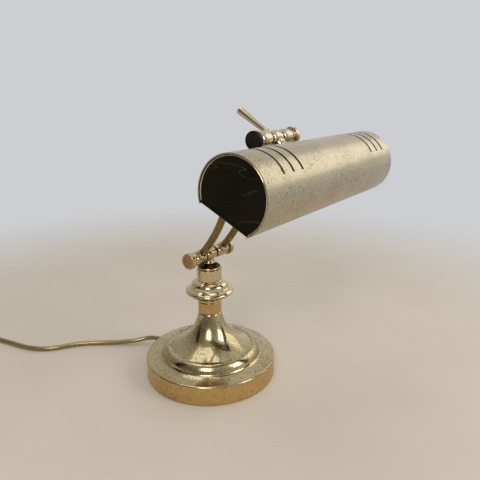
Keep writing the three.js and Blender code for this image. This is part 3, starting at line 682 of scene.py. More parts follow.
# Pressed dark green felt: fibres matted less than a millimetre apart, with lint.
wool_felt, tree, place, shader = blank_material("wool_felt")
fibre = add(
    tree, "ShaderNodeTexNoise", {"Scale": 1300.0, "Detail": 8.0, "Distortion": 2.5}, {"Vector": place}
)
lint = add(tree, "ShaderNodeTexNoise", {"Scale": 240.0, "Detail": 5.0}, {"Vector": place})
tone = add(
    tree,
    "ShaderNodeMix",
    {"data_type": "RGBA", 6: linear("#18241d"), 7: linear("#3b4d40")},
    {0: fibre.outputs["Fac"]},
)
dusty = add(
    tree,
    "ShaderNodeMix",
    {"data_type": "RGBA", 7: linear("#4c5a4e")},
    {0: lint.outputs["Fac"], 6: tone.outputs[2]},
)
nap = add(tree, "ShaderNodeBump", {"Strength": 0.9, "Distance": 0.0004}, {"Height": fibre.outputs["Fac"]})
tree.links.new(dusty.outputs[2], shader.inputs["Base Color"])
tree.links.new(nap.outputs["Normal"], shader.inputs["Normal"])
shader.inputs["Roughness"].default_value = 0.95
shader.inputs["Sheen Weight"].default_value = 0.4


def dress(finish, *nodes):
    """Puts a finish on CAD nodes that are shown as they are."""
    for name in nodes:
        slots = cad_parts[name].material_slots
        if not slots:
            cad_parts[name].data.materials.append(finish)
        for slot in slots:
            slot.material = finish


dress(zinc_plate, "base_plate", "base_nut", "stem_rod")
dress(cast_iron, "base_weight")
felt_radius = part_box("base_felt")[1].x / MM
felt_disc = turned(
    "base_felt_disc",
    eased([(0, 0.0), (felt_radius, 0.0), (felt_radius, 1.5), (0, 1.5)], 0.5, 4),
    segments=160,
)
fitted(felt_disc, wool_felt, "base", "felt", "base_felt")


# ------------------------------------------------------------------ column
# Three turned brass pieces stacked on the neck: a satin spacer ring, a hollow lens-shaped vase with a
# bead above it, and a plain cup. A brass saucer on top, painted almost black as a painted dark reflection,
# is the bearing that the pivot block turns on.

# The old gold finish, never buffed: deep orange gold.
deep_gold_brass = brass("deep_gold_brass", "#d4b481", "#b89561", 0.2, 0.3, 0.3, sparse=0.04)
# Turned and buffed bright: the same pale straw, with only a few specks.
buffed_brass = brass("buffed_brass", "#dacba4", "#c2b189", 0.06, 0.12, 0.35, sparse=0.07)
# Almost black and still glossy: black on the washers, and a painted dark reflection on the saucer and the
# near upper cap.
black_washer_and_reflection = brass("black_washers_and_painted_dark_reflection_brass", "#3a342a", "#241f19", 0.12, 0.22, 0.4, stain="#5c4a2a")

band_low, band_high = (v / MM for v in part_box("stem_band"))
band = turned(
    "stem_band_turned",
    eased(
        [
            (BORE, band_low.z),
            (band_high.x, band_low.z),
            (band_high.x, band_high.z),
            (BORE, band_high.z),
        ],
        0.7,
    ),
)
fitted(band, deep_gold_brass, "base", "satin_brass", "stem_band")

vase_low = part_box("stem_vase")[0] / MM


def up_vase(points):
    """Heights counted from the foot of the vase."""
    return [(r, vase_low.z + h) for r, h in points]


vase_foot = [(12.6, 0.0), (13.6, 0.25), (14.1, 1.0), (14.1, 1.9)]
vase_cove = flowing([(14.1, 2.0), (14.2, 3.1), (15.4, 4.3), (17.6, 5.2), (19.6, 5.6)], 4)
lens_knots = [(20.6, 6.1), (22.6, 7.4), (25.3, 9.5), (27.0, 11.3), (27.4, 12.5), (26.9, 13.7), (25.2, 15.2)]
vase_lens = flowing([*lens_knots, (22.9, 16.5)], 5)
bead_knots = [(21.2, 17.1), (21.0, 18.4), (20.75, 20.2), (20.0, 21.7), (18.6, 23.2), (16.7, 24.3)]
vase_bead = flowing([*bead_knots, (15.3, 24.8)], 5)
vase_outside = [*vase_foot, *vase_cove, *vase_lens, *vase_bead, (14.6, 25.1), (14.3, 25.6)]
vase_hollow = [(BORE, 23.6), (13.0, 23.6), (17.7, 19.0), (24.0, 12.6), (12.0, 2.0), (BORE, 2.0)]
vase_inside = [(BORE, 25.6), *vase_hollow, (BORE, 0)]
vase = turned("stem_vase_turned", up_vase([*vase_outside, *vase_inside]), segments=160)
fitted(vase, buffed_brass, "base", "polished_brass", "stem_vase")

cup_low, cup_high = (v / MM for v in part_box("neck_sleeve"))
cup = turned(
    "neck_cup_turned",
    eased(
        [
            (BORE, cup_low.z),
            (cup_high.x, cup_low.z),
            (cup_high.x, cup_high.z),
            (cup_high.x - 1.8, cup_high.z),
            (cup_high.x - 1.8, cup_low.z + 4),
            (BORE, cup_low.z + 4),
        ],
        0.5,
    ),
)
fitted(cup, buffed_brass, "base", "polished_brass", "neck_sleeve")

saucer_low, saucer_high = (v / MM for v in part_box("neck_cap"))
saucer_dome = flowing(
    [(13.2, 1.5), (12.6, 2.5), (11.2, 3.7), (9.6, 4.8), (8.2, 5.6), (6.6, 5.95), (BORE, 6.0)], 4
)
saucer_under = [(BORE, 4.2), (8.3, 4.2), (9.2, 2.8), (11.6, 0.0)]
saucer = turned(
    "bearing_saucer",
    [(r, saucer_low.z + h) for r, h in [(12.9, 0.0), (13.2, 0.3), *saucer_dome, *saucer_under]],
)
fitted(saucer, black_washer_and_reflection, "base", "dark_brass", "neck_cap")
# Its rim is left gold, outside the painted dark reflection.
SAUCER_RIM = 12.75
saucer.data.materials.append(deep_gold_brass)
for face in saucer.data.polygons:
    if Vector(face.center[:2]).length > SAUCER_RIM * MM:
        face.material_index = 1


# ------------------------------------------------------------------ pivots
# Both pivots are alike: a centre piece between two turned beads, all threaded on a steel bolt with fibre
# washers, and a cap nut on each end.

# The upper beads are worn to a pinkish bloom where hands have turned them.
rosy_brass = brass("handled_rosy_brass", "#d3c4ae", "#b8a58b", 0.1, 0.2, 0.3, stain="#7c6248", sparse=0.07)
# The lower ones are touched less, and have kept a tan gold.
honey_brass = brass("handled_honey_brass", "#cfb791", "#ab9069", 0.1, 0.2, 0.3, stain="#6d4a2e", sparse=0.07)
# The flat faces of the lower cap nuts are satin and painted a darker brown gold, a painted dark reflection.
painted_dark_cap_face = brass("cap_faces_painted_dark_brass", "#b8956a", "#94724a", 0.14, 0.26, 0.3, stain="#6d4a2e", sparse=0.06)

lower_low, lower_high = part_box("lower_bolt")
upper_low, upper_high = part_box("upper_bolt")
LOWER_PIVOT = (lower_low + lower_high) / 2
UPPER_PIVOT = (upper_low + upper_high) / 2
ON_X = Matrix.Rotation(math.pi / 2, 4, "Y")
BEAD_RADIUS = 7.4
HUB_RADIUS = 6.7
HUB_HALF = 8.2
BOLT_BORE = 3.3
NECK = 5.3  # the flat end of a bead or a hub, and the neck of a cap nut
CAP_RADIUS = 8.7
CAP_FACE = 7.2
GAP = 0.3  # between pieces that touch
ARM_ANGLE = 45.0
STUD_ANGLE = -38.2
LEVER_ANGLE = 148.7


def pointing(pivot, degrees, x=0.0):
    """A stand at a pivot for a piece that points that many degrees above the front."""
    return Matrix.Translation(pivot + Vector((x, 0, 0))) @ Matrix.Rotation(
        math.pi / 2 - math.radians(degrees), 4, "X"
    )


def seated_on(radius, foot):
    """Lifts the points at height foot to a barrel of that radius that lies along the piece's own x."""
    return lambda x, y, z: math.sqrt(max(radius**2 - y**2, 0.0)) if abs(z - foot) < 1e-6 else z


def barrelled(radius, half, shoulder=5.75, steps=24):
    """The outline of a bead bored for the bolt: full in the middle, drawn in to a shoulder at each end."""
    side = []
    for k in range(steps + 1):
        x = math.cos(math.pi * k / steps)
        side.append((shoulder + (radius - shoulder) * (1 - abs(x) ** 2.4) ** 0.55, half * x * 0.985))
    return [(BOLT_BORE, half), (NECK, half), *side, (NECK, -half), (BOLT_BORE, -half)]


dress(zinc_plate, "lower_bolt", "upper_bolt", "swivel_nut")

for level, pivot, body in (("lower", LOWER_PIVOT, "pivot_block"), ("upper", UPPER_PIVOT, "shade")):
    handled = honey_brass if level == "lower" else rosy_brass
    for side, tag in ((-1, "near"), (1, "far")):
        low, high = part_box(f"{level}_washer_{tag}")
        middle = (low.x + high.x) / 2 / MM
        washer = turned(
            f"{level}_washer_{tag}_disc",
            eased([(BOLT_BORE, -0.4), (6.3, -0.4), (6.3, 0.4), (BOLT_BORE, 0.4)], 0.15, 2),
            Matrix.Translation(pivot + Vector((middle * MM, 0, 0))) @ ON_X,
            64,
        )
        fitted(washer, black_washer_and_reflection, body, "dark_brass", f"{level}_washer_{tag}")

        low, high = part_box(f"{level}_cap_{tag}")
        cap_length = (high.x - low.x) / MM
        rim = cap_length - 5.0
        cap_outline = [
            (0, cap_length - 0.15),
            *flowing([(6.0, cap_length - 0.12), (7.2, cap_length - 0.05), (7.7, cap_length)], 3),
            (8.2, cap_length - 0.1),
            (8.55, cap_length - 0.45),
            (CAP_RADIUS, cap_length - 0.9),
            (CAP_RADIUS, rim + 0.9),
            (8.55, rim + 0.4),
            (8.1, rim + 0.05),
            (7.6, rim),
            (5.9, rim),
            (5.5, rim - 0.15),
            (NECK, rim - 0.5),
            (NECK, 0.4),
            (5.0, 0),
            (BOLT_BORE, 0),
            (BOLT_BORE, cap_length - 1.9),
            (0, cap_length - 1.9),
        ]
        inner_end = high.x if side < 0 else low.x
        cap = turned(
            f"{level}_cap_{tag}_turned",
            cap_outline,
            Matrix.Translation((inner_end, pivot.y, pivot.z))
            @ (ON_X if side > 0 else Matrix.Rotation(-math.pi / 2, 4, "Y")),
            96,
        )
        # The near upper cap is painted almost black, a painted dark reflection; the other caps keep their
        # brass.
        cap_finish = black_washer_and_reflection if (level, tag) == ("upper", "near") else handled
        fitted(cap, cap_finish, body, "rosy_brass", f"{level}_cap_{tag}")
        # On the lower caps the flat end faces get the darker brass, a painted dark reflection.
        if level == "lower":
            cap.data.materials.append(painted_dark_cap_face)
            for face in cap.data.polygons:
                at_end = abs(face.center.x - inner_end) > (cap_length - 0.3) * MM
                if at_end and (face.center - pivot).yz.length < CAP_FACE * MM:
                    face.material_index = 1

        low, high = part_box(f"{level}_knuckle_{tag}")
        bead = turned(
            f"{level}_bead_{tag}_turned",
            barrelled(BEAD_RADIUS, (high.x - low.x) / 2 / MM),
            Matrix.Translation(((low.x + high.x) / 2, pivot.y, pivot.z)) @ ON_X,
            96,
        )
        fitted(bead, handled, "arms", "rosy_brass", f"{level}_knuckle_{tag}")

        angle = ARM_ANGLE if level == "lower" else ARM_ANGLE - 180
        collar = turned(
            f"{level}_collar_{tag}_turned",
            [
                (3.9, 6.2),
                (5.9, 6.2),
                (6.0, 8.6),
                *flowing([(5.95, 9.0), (5.6, 9.5), (5.35, 9.9), (5.2, 10.35)], 3),
                (4.6, 10.4),
                (4.02, 10.1),
                (3.9, 9.6),
            ],
            pointing(pivot, angle, (low.x + high.x) / 2),
            80,
            seated_on(BEAD_RADIUS - 0.75, 6.2),
        )
        fitted(collar, buffed_brass, "arms", "polished_brass", f"{level}_ferrule_{tag}")


def joined(name, pieces):
    """One closed piece from overlapping turned ones."""
    whole = pieces[0]
    for other in pieces[1:]:
        union = whole.modifiers.new("union", "BOOLEAN")
        union.operation = "UNION"
        union.solver = "EXACT"
        union.object = other
        mesh = bpy.data.meshes.new_from_object(whole.evaluated_get(bpy.context.evaluated_depsgraph_get()))
        whole.modifiers.clear()
        whole.data = mesh
        bpy.data.objects.remove(other)
    whole.name = name
    whole.data.polygons.foreach_set("use_smooth", [True] * len(whole.data.polygons))
    whole.data.set_sharp_from_angle(angle=math.radians(32))
    return whole


lower_barrel = turned(
    "lower_barrel", barrelled(HUB_RADIUS, HUB_HALF, 5.6), Matrix.Translation(LOWER_PIVOT) @ ON_X, 96
)
stem_end = (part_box("lower_hub")[0].z - LOWER_PIVOT.z) / MM
foot = saucer_high.z + GAP - LOWER_PIVOT.z / MM
stem_knots = [(7.0, 0.0), (7.3, 0.4), (7.1, 1.2), (6.4, 2.4), (6.0, 4.0)]
lower_stem = turned(
    "lower_stem",
    [
        (0, stem_end),
        (4.7, stem_end),
        (5.0, stem_end + 0.3),
        (5.0, foot),
        *flowing([(r, foot + rise) for r, rise in stem_knots], 4),
        (5.6, -4.2),
        (0, -4.0),
    ],
    Matrix.Translation(LOWER_PIVOT),
    72,
)
lower_block = joined("lower_block_turned", [lower_barrel, lower_stem])
fitted(lower_block, honey_brass, "pivot_block", "rosy_brass", "lower_hub")


# ------------------------------------------------------------------ arms
# Two 8 mm brass tubes bent to the same S and pressed into the beads. The white lead runs up inside one
# of them.
def follow_tree(finish):
    """A tube of a set radius and side count along a line of vertices."""
    tree = bpy.data.node_groups.new("bent_tube", "GeometryNodeTree")
    tree.interface.new_socket("Line", in_out="INPUT", socket_type="NodeSocketGeometry")
    tree.interface.new_socket("Radius", in_out="INPUT", socket_type="NodeSocketFloat")
    tree.interface.new_socket("Sides", in_out="INPUT", socket_type="NodeSocketInt")
    tree.interface.new_socket("Tube", in_out="OUTPUT", socket_type="NodeSocketGeometry")
    sizes = tree.nodes.new("NodeGroupInput").outputs
    line = add(tree, "GeometryNodeMeshToCurve", links={"Mesh": sizes["Line"]})
    section = add(
        tree,
        "GeometryNodeCurvePrimitiveCircle",
        links={"Radius": sizes["Radius"], "Resolution": sizes["Sides"]},
    )
    tube = add(
        tree,
        "GeometryNodeCurveToMesh",
        {"Fill Caps": True},
        {"Curve": line.outputs["Curve"], "Profile Curve": section.outputs["Curve"]},
    )
    plain = add(tree, "GeometryNodeRealizeInstances", links={"Geometry": tube.outputs["Mesh"]})
    dressed = add(
        tree, "GeometryNodeSetMaterial", {"Material": finish}, {"Geometry": plain.outputs["Geometry"]}
    )
    add(tree, "NodeGroupOutput", links={"Tube": dressed.outputs["Geometry"]})
    return tree


def grown(name, tree, mesh, sizes):
    """The plain mesh that a tree makes from a mesh, with its inputs set by name."""
    host = bpy.data.objects.new(name, mesh)
    bpy.context.collection.objects.link(host)
    growth = host.modifiers.new("growth", "NODES")
    growth.node_group = tree
    for socket in tree.interface.items_tree:
        if socket.name in sizes:
            growth[socket.identifier] = sizes[socket.name]
    made = bpy.data.meshes.new_from_object(host.evaluated_get(bpy.context.evaluated_depsgraph_get()))
    host.modifiers.clear()
    host.data = made
    made.name = name
    made.polygons.foreach_set("use_smooth", [True] * len(made.polygons))
    made.set_sharp_from_angle(angle=math.radians(40))
    return host


def line_mesh(name, points):
    """A mesh of edges through points in metres."""
    mesh = bpy.data.meshes.new(name)
    mesh.from_pydata(points, [(i, i + 1) for i in range(len(points) - 1)], [])
    return mesh


# Drawn tube, gone a dull gold brown.
drawn_brass = brass("drawn_brown_brass", "#98804f", "#6f5932", 0.09, 0.18, 0.35, sparse=0.05)

ARM_FULLNESS = 70 * MM
ARM_INSET = 4.9 * MM
ARM_RADIUS = 4.0
slope = Vector((0, -math.cos(math.radians(ARM_ANGLE)), math.sin(math.radians(ARM_ANGLE))))
knots = [LOWER_PIVOT, LOWER_PIVOT + slope * ARM_FULLNESS, UPPER_PIVOT - slope * ARM_FULLNESS, UPPER_PIVOT]
arm_line = [
    point
    for point in (Vector(p) for p in bezier(knots, 200))
    if min((point - LOWER_PIVOT).length, (point - UPPER_PIVOT).length) > ARM_INSET
]
bent_tube = follow_tree(drawn_brass)
for tag in ("near", "far"):
    low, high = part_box(f"arm_tube_{tag}")
    shift = Vector(((low.x + high.x) / 2, 0, 0))
    line = line_mesh(f"arm_line_{tag}", [p + shift for p in arm_line])
    tube = grown(f"arm_tube_{tag}_bent", bent_tube, line, {"Radius": ARM_RADIUS * MM, "Sides": 40})
    fitted(tube, drawn_brass, "arms", "satin_brass", f"arm_tube_{tag}")


# ------------------------------------------------------------------ shade mounting
# The centre piece of the upper pivot carries a hollow threaded stud, down which the lead runs. A flared
# brass collar fills the space between it and the shade, and a nut inside holds the bracket.
SHADE_AXIS = (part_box("lampholder_body")[0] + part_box("lampholder_body")[1]) / 2
SHADE_AXIS.x = 0.0
shell_low, shell_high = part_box("shade_shell")
SHADE_LENGTH = (shell_high.x - shell_low.x) / MM
SHADE_RADIUS = 32.2
SHADE_WALL = 0.9
SHADE_DISTANCE = (SHADE_AXIS - UPPER_PIVOT).length / MM

hub_barrel = turned(
    "upper_barrel", barrelled(BEAD_RADIUS - 0.1, HUB_HALF), Matrix.Translation(UPPER_PIVOT) @ ON_X, 96
)
stud_end = 26.7
thread = []
for k in range(8):
    z = stud_end - 7.4 + k * 0.85
    thread += [(3.85, z), (4.2, z + 0.4)]
hub_stud = turned(
    "upper_stud",
    [
        (2.5, 4.2),
        (4.15, 4.2),
        (4.15, stud_end - 7.7),
        *thread,
        (3.8, stud_end - 0.3),
        (3.5, stud_end),
        (2.5, stud_end),
    ],
    pointing(UPPER_PIVOT, STUD_ANGLE),
    64,
)
upper_block = joined("upper_block_turned", [hub_barrel, hub_stud])
fitted(upper_block, rosy_brass, "shade", "rosy_brass", "upper_hub")


def between_barrel_and_shade(x, y, z):
    """Height 5 sits on the hub's barrel, and height 30 on the shade's back."""
    if abs(z - 5.0) < 1e-6:
        return math.sqrt((BEAD_RADIUS + 0.1) ** 2 - y**2)
    if abs(z - 30.0) < 1e-6:
        return SHADE_DISTANCE - math.sqrt((SHADE_RADIUS + 0.05) ** 2 - y**2)
    return z


saddle_flare = flowing(
    [(5.9, 9.4), (5.75, 11.4), (6.1, 13.2), (7.2, 15.2), (8.6, 16.4), (9.25, 17.2), (9.35, 17.7)], 4
)
saddle = turned(
    "shade_saddle_turned",
    [(4.3, 5.0), (6.2, 5.0), (6.25, 8.6), (6.0, 8.9), *saddle_flare, (9.3, 30.0), (4.3, 30.0)],
    pointing(UPPER_PIVOT, STUD_ANGLE),
    96,
    between_barrel_and_shade,
)
fitted(saddle, buffed_brass, "shade", "polished_brass", "shade_saddle")
dress(zinc_plate, "stud_nut")


# ------------------------------------------------------------------ tilting lever
# A turned taper, thick end outwards, screwed into the upper pivot through a small stepped collar. It
# is the handle that tilts the shade.
collar = turned(
    "lever_collar_turned",
    [
        (0, 6.0),
        (3.8, 6.0),
        (3.85, 9.0),
        *flowing([(3.8, 9.5), (3.5, 10.1), (3.1, 10.6), (2.9, 11.1)], 3),
        (0, 11.2),
    ],
    pointing(UPPER_PIVOT, LEVER_ANGLE),
    80,
    seated_on(BEAD_RADIUS - 0.4, 6.0),
)
fitted(collar, buffed_brass, "shade", "polished_brass", "lever_ferrule")
lever = turned(
    "tilt_lever_turned",
    [
        (0, 11.35),
        (2.3, 11.35),
        (2.45, 12.0),
        *[(2.45 + 1.45 * k / 12, 12.2 + 33.9 * k / 12) for k in range(13)],
        (3.86, 46.45),
        (3.7, 46.8),
        (3.4, 47.0),
        (2.9, 47.0),
        (2.6, 46.9),
        (0, 46.8),
    ],
    pointing(UPPER_PIVOT, LEVER_ANGLE),
    96,
)
fitted(lever, buffed_brass, "shade", "polished_brass", "tilt_lever")


# ------------------------------------------------------------------ shade
# One sheet of 0.9 mm brass rolled to three quarters of a tube, with three vents punched across the crown
# at each end. The finish has aged to a champagne grey, with dark specks and a rubbed sheen.
MOUTH_ANGLE = -115.0
MOUTH_SPREAD = 99.0
VENT_WIDTH = 3.0
VENT_PITCH = 13.7
VENT_SPREAD = 70.0
VENT_INSETS = (41.0, 32.5)
STUD_HOLE = 4.4  # half the side of the hole that the stud goes through


def stations(start, end, edges, pitch):
    """Places from start to end, no more than a pitch apart, that include every edge."""
    marks = sorted({start, end, *edges})
    places = []
    for a, b in zip(marks, marks[1:]):
        count = max(1, math.ceil((b - a) / pitch))
        places += [a + (b - a) * k / count for k in range(count)]
    return [*places, end]


def rolled_tree(finish):
    """Rolls a flat sheet, drawn in x along the shade and y round it, about the shade's axis, and gives it
    its wall inwards."""
    tree = bpy.data.node_groups.new("rolled_sheet", "GeometryNodeTree")
    tree.interface.new_socket("Sheet", in_out="INPUT", socket_type="NodeSocketGeometry")
    for name in ("Radius", "Wall", "Crown angle", "Axis Y", "Axis Z"):
        tree.interface.new_socket(name, in_out="INPUT", socket_type="NodeSocketFloat")
    tree.interface.new_socket("Shade", in_out="OUTPUT", socket_type="NodeSocketGeometry")
    sizes = tree.nodes.new("NodeGroupInput").outputs
    spot = add(tree, "GeometryNodeInputPosition")
    flat = add(tree, "ShaderNodeSeparateXYZ", links={"Vector": spot.outputs["Position"]})
    turn = add(tree, "ShaderNodeMath", {"operation": "DIVIDE"}, {0: flat.outputs["Y"], 1: sizes["Radius"]})
    angle = add(
        tree, "ShaderNodeMath", {"operation": "ADD"}, {0: turn.outputs["Value"], 1: sizes["Crown angle"]}
    )
    forward = add(tree, "ShaderNodeMath", {"operation": "COSINE"}, {0: angle.outputs["Value"]})
    upward = add(tree, "ShaderNodeMath", {"operation": "SINE"}, {0: angle.outputs["Value"]})
    reach = add(
        tree, "ShaderNodeMath", {"operation": "MULTIPLY"}, {0: forward.outputs["Value"], 1: sizes["Radius"]}
    )
    y = add(
        tree, "ShaderNodeMath", {"operation": "SUBTRACT"}, {0: sizes["Axis Y"], 1: reach.outputs["Value"]}
    )
    z = add(
        tree,
        "ShaderNodeMath",
        {"operation": "MULTIPLY_ADD"},
        {0: upward.outputs["Value"], 1: sizes["Radius"], 2: sizes["Axis Z"]},
    )
    place = add(
        tree,
        "ShaderNodeCombineXYZ",
        links={"X": flat.outputs["X"], "Y": y.outputs["Value"], "Z": z.outputs["Value"]},
    )
    outer = add(
        tree,
        "GeometryNodeSetPosition",
        links={"Geometry": sizes["Sheet"], "Position": place.outputs["Vector"]},
    )
    inwards = add(tree, "ShaderNodeMath", {"operation": "MULTIPLY", 1: -1.0}, {0: sizes["Wall"]})
    wall = add(
        tree,
        "GeometryNodeExtrudeMesh",
        {"mode": "FACES", "Individual": False},
        {"Mesh": outer.outputs["Geometry"], "Offset Scale": inwards.outputs["Value"]},
    )
    turned_in = add(tree, "GeometryNodeFlipFaces", links={"Mesh": wall.outputs["Mesh"]})
    both = tree.nodes.new("GeometryNodeJoinGeometry")
    tree.links.new(outer.outputs["Geometry"], both.inputs["Geometry"])
    tree.links.new(turned_in.outputs["Mesh"], both.inputs["Geometry"])
    closed = add(
        tree, "GeometryNodeMergeByDistance", {"Distance": 0.00001}, {"Geometry": both.outputs["Geometry"]}
    )
    plain = add(tree, "GeometryNodeRealizeInstances", links={"Geometry": closed.outputs["Geometry"]})
    dressed = add(
        tree, "GeometryNodeSetMaterial", {"Material": finish}, {"Geometry": plain.outputs["Geometry"]}
    )
    add(tree, "NodeGroupOutput", links={"Shade": dressed.outputs["Geometry"]})
    return tree


def flat_sheet(name, xs, ys, punched):
    """The sheet before rolling, in mm, without the cells that punched(x, y) takes out."""
    mesh = bpy.data.meshes.new(name)
    shape = bmesh.new()
    grid = [[shape.verts.new(Vector((x, y, 0)) * MM) for y in ys] for x in xs]
    for i in range(len(xs) - 1):
        for j in range(len(ys) - 1):
            if not punched((xs[i] + xs[i + 1]) / 2, (ys[j] + ys[j + 1]) / 2):
                shape.faces.new([grid[i][j], grid[i + 1][j], grid[i + 1][j + 1], grid[i][j + 1]])
    bmesh.ops.delete(shape, geom=[v for v in shape.verts if not v.link_faces], context="VERTS")
    shape.normal_update()
    shape.to_mesh(mesh)
    shape.free()
    return mesh


# Pale champagne with a low even sheen, freckled all over with fine olive brown.
aged_brass = brass(
    "aged_champagne_brass", "#c0b397", "#b3a589", 0.27, 0.3, 0.8, 0.000008, "#8a7a5a", 0.07, 800.0
)

CROWN_ANGLE = MOUTH_ANGLE + 180
half_length = SHADE_LENGTH / 2
half_girth = math.radians(180 - MOUTH_SPREAD / 2) * SHADE_RADIUS
vent_reach = math.radians(VENT_SPREAD / 2) * SHADE_RADIUS
vent_places = [
    centre + k * VENT_PITCH
    for centre in (-half_length + VENT_INSETS[0], half_length - VENT_INSETS[1])
    for k in (-1, 0, 1)
]
vent_edges = [x + side * VENT_WIDTH / 2 for x in vent_places for side in (-1, 1)]
stud_turn = math.radians(STUD_ANGLE + 180 - CROWN_ANGLE) * SHADE_RADIUS


def punched(x, y):
    """True in a vent, and in the square the stud goes through, which the saddle covers."""
    vent = any(abs(x - place) < VENT_WIDTH / 2 for place in vent_places) and abs(y) < vent_reach
    return vent or (abs(x) < STUD_HOLE and abs(y - stud_turn) < STUD_HOLE)


hole_edges = [stud_turn - STUD_HOLE, stud_turn + STUD_HOLE]
shade_xs = stations(-half_length, half_length, [*vent_edges, -STUD_HOLE, STUD_HOLE], 4.0)
shade_ys = stations(-half_girth, half_girth, [-vent_reach, vent_reach, *hole_edges], 1.4)
shade = grown(
    "shade_rolled",
    rolled_tree(aged_brass),
    flat_sheet("shade_sheet", shade_xs, shade_ys, punched),
    {
        "Radius": SHADE_RADIUS * MM,
        "Wall": SHADE_WALL * MM,
        "Crown angle": math.radians(CROWN_ANGLE),
        "Axis Y": SHADE_AXIS.y,
        "Axis Z": SHADE_AXIS.z,
    },
)
fitted(shade, aged_brass, "shade", "shade_brass", "shade_shell")


# ------------------------------------------------------------------ end plates
# A stamped brass plate closes each end just inside the rolled edge. Its face is painted almost black, a
# painted dark reflection of polished brass, with hairline scratches, and its upturned edge shows as a thin
# gold bead.

# Almost black as a painted dark reflection, half glossy, with a few broken olive hairlines that run across
# it.
painted_dark_plate_brass, tree, place, shader = blank_material("plate_brass_painted_dark_with_hairlines")
cloud = add(tree, "ShaderNodeTexNoise", {"Scale": 26.0, "Detail": 6.0}, {"Vector": place})
tone = add(
    tree,
    "ShaderNodeMix",
    {"data_type": "RGBA", 6: linear("#12100c"), 7: linear("#2d261b")},
    {0: cloud.outputs["Fac"]},
)
scratched = tone
for turn, scale, lean in ((0.35, 45.0, 3.0), (-0.5, 60.0, -2.0), (1.2, 38.0, 7.0)):
    laid = add(
        tree,
        "ShaderNodeMapping",
        {"Rotation": (turn, 0.0, 0.0), "Scale": (1.0, 0.16, 1.0), "Location": (0.0, lean, 0.0)},
        {"Vector": place},
    )
    bend = add(
        tree,
        "ShaderNodeTexNoise",
        {"Scale": scale, "Detail": 2.0, "Distortion": 0.6},
        {"Vector": laid.outputs["Vector"]},
    )
    off = add(tree, "ShaderNodeMath", {"operation": "SUBTRACT", 1: 0.5}, {0: bend.outputs["Fac"]})
    near = add(tree, "ShaderNodeMath", {"operation": "ABSOLUTE"}, {0: off.outputs["Value"]})
    line = add(
        tree,
        "ShaderNodeMapRange",
        {"From Min": 0.0, "From Max": 0.004, "To Min": 0.32, "To Max": 0.0},
        {"Value": near.outputs["Value"]},
    )
    broken = add(
        tree, "ShaderNodeTexNoise", {"Scale": 70.0, "Detail": 3.0}, {"Vector": laid.outputs["Vector"]}
    )
    shown = add(
        tree,
        "ShaderNodeMapRange",
        {"From Min": 0.5, "From Max": 0.62, "To Min": 0.0, "To Max": 1.0},
        {"Value": broken.outputs["Fac"]},
    )
    mark = add(
        tree,
        "ShaderNodeMath",
        {"operation": "MULTIPLY"},
        {0: line.outputs["Result"], 1: shown.outputs["Result"]},
    )
    scratched = add(
        tree,
        "ShaderNodeMix",
        {"data_type": "RGBA", 7: linear("#7b745f")},
        {0: mark.outputs["Value"], 6: scratched.outputs[2]},
    )
smear = add(
    tree,
    "ShaderNodeMapRange",
    {"From Min": 0.35, "From Max": 0.65, "To Min": 0.13, "To Max": 0.26},
    {"Value": cloud.outputs["Fac"]},
)
tree.links.new(scratched.outputs[2], shader.inputs["Base Color"])
tree.links.new(smear.outputs["Result"], shader.inputs["Roughness"])
shader.inputs["Metallic"].default_value = 1.0


def plate_outline(radius, chord, count=88, chord_count=24):
    """Points [y, z] from the axis: an arc of that radius, closed across the mouth at that distance."""
    half = math.acos(chord / radius)
    start = math.radians(MOUTH_ANGLE) + half
    sweep = 2 * math.pi - 2 * half
    points = []
    for k in range(count + 1):
        turn = start + sweep * k / count
        points.append(Vector((-math.cos(turn) * radius, math.sin(turn) * radius)))
    a, b = points[-1].copy(), points[0].copy()
    points += [a.lerp(b, k / chord_count) for k in range(1, chord_count)]
    return points


PLATE_RADIUS = SHADE_RADIUS - SHADE_WALL - 0.1
PLATE_CHORD = PLATE_RADIUS * math.cos(math.radians(MOUTH_SPREAD / 2))
to_mouth = Vector((-math.cos(math.radians(MOUTH_ANGLE)), math.sin(math.radians(MOUTH_ANGLE))))
PLATE_FLAT = 2.4  # how far in from the edge the flat starts
BEAD_FOOT = 1.35  # above this height over the inner face the edge is left gold, not painted dark
# Each row: how far in from the edge, and how far out from the plate's inner face.
plate_section = [
    (PLATE_FLAT, 0.0),
    (0.3, 0.0),
    (0.05, 0.25),
    (0.0, 0.7),
    (0.12, 1.2),
    (0.45, 1.6),
    (0.7, 1.88),
    (0.95, 1.95),
    (1.15, 1.82),
    (1.3, 1.5),
    (1.42, 1.22),
    (1.9, 1.12),
    (PLATE_FLAT, 1.1),
]


def skinned(name, rings, capped, stand, crease=None):
    """A closed piece over rings of points in mm. Its ends are capped, or its last ring meets its first."""
    shape = bmesh.new()
    loops = [[shape.verts.new(Vector(point) * MM) for point in ring] for ring in rings]
    pairs = list(zip(loops, loops[1:]))
    if not capped:
        pairs.append((loops[-1], loops[0]))
    for loop, following in pairs:
        for k in range(len(loop)):
            n = (k + 1) % len(loop)
            shape.faces.new([loop[k], loop[n], following[n], following[k]])
    if capped:
        shape.faces.new(loops[0][::-1])
        shape.faces.new(loops[-1])
    return piece_from(shape, name, stand, crease)


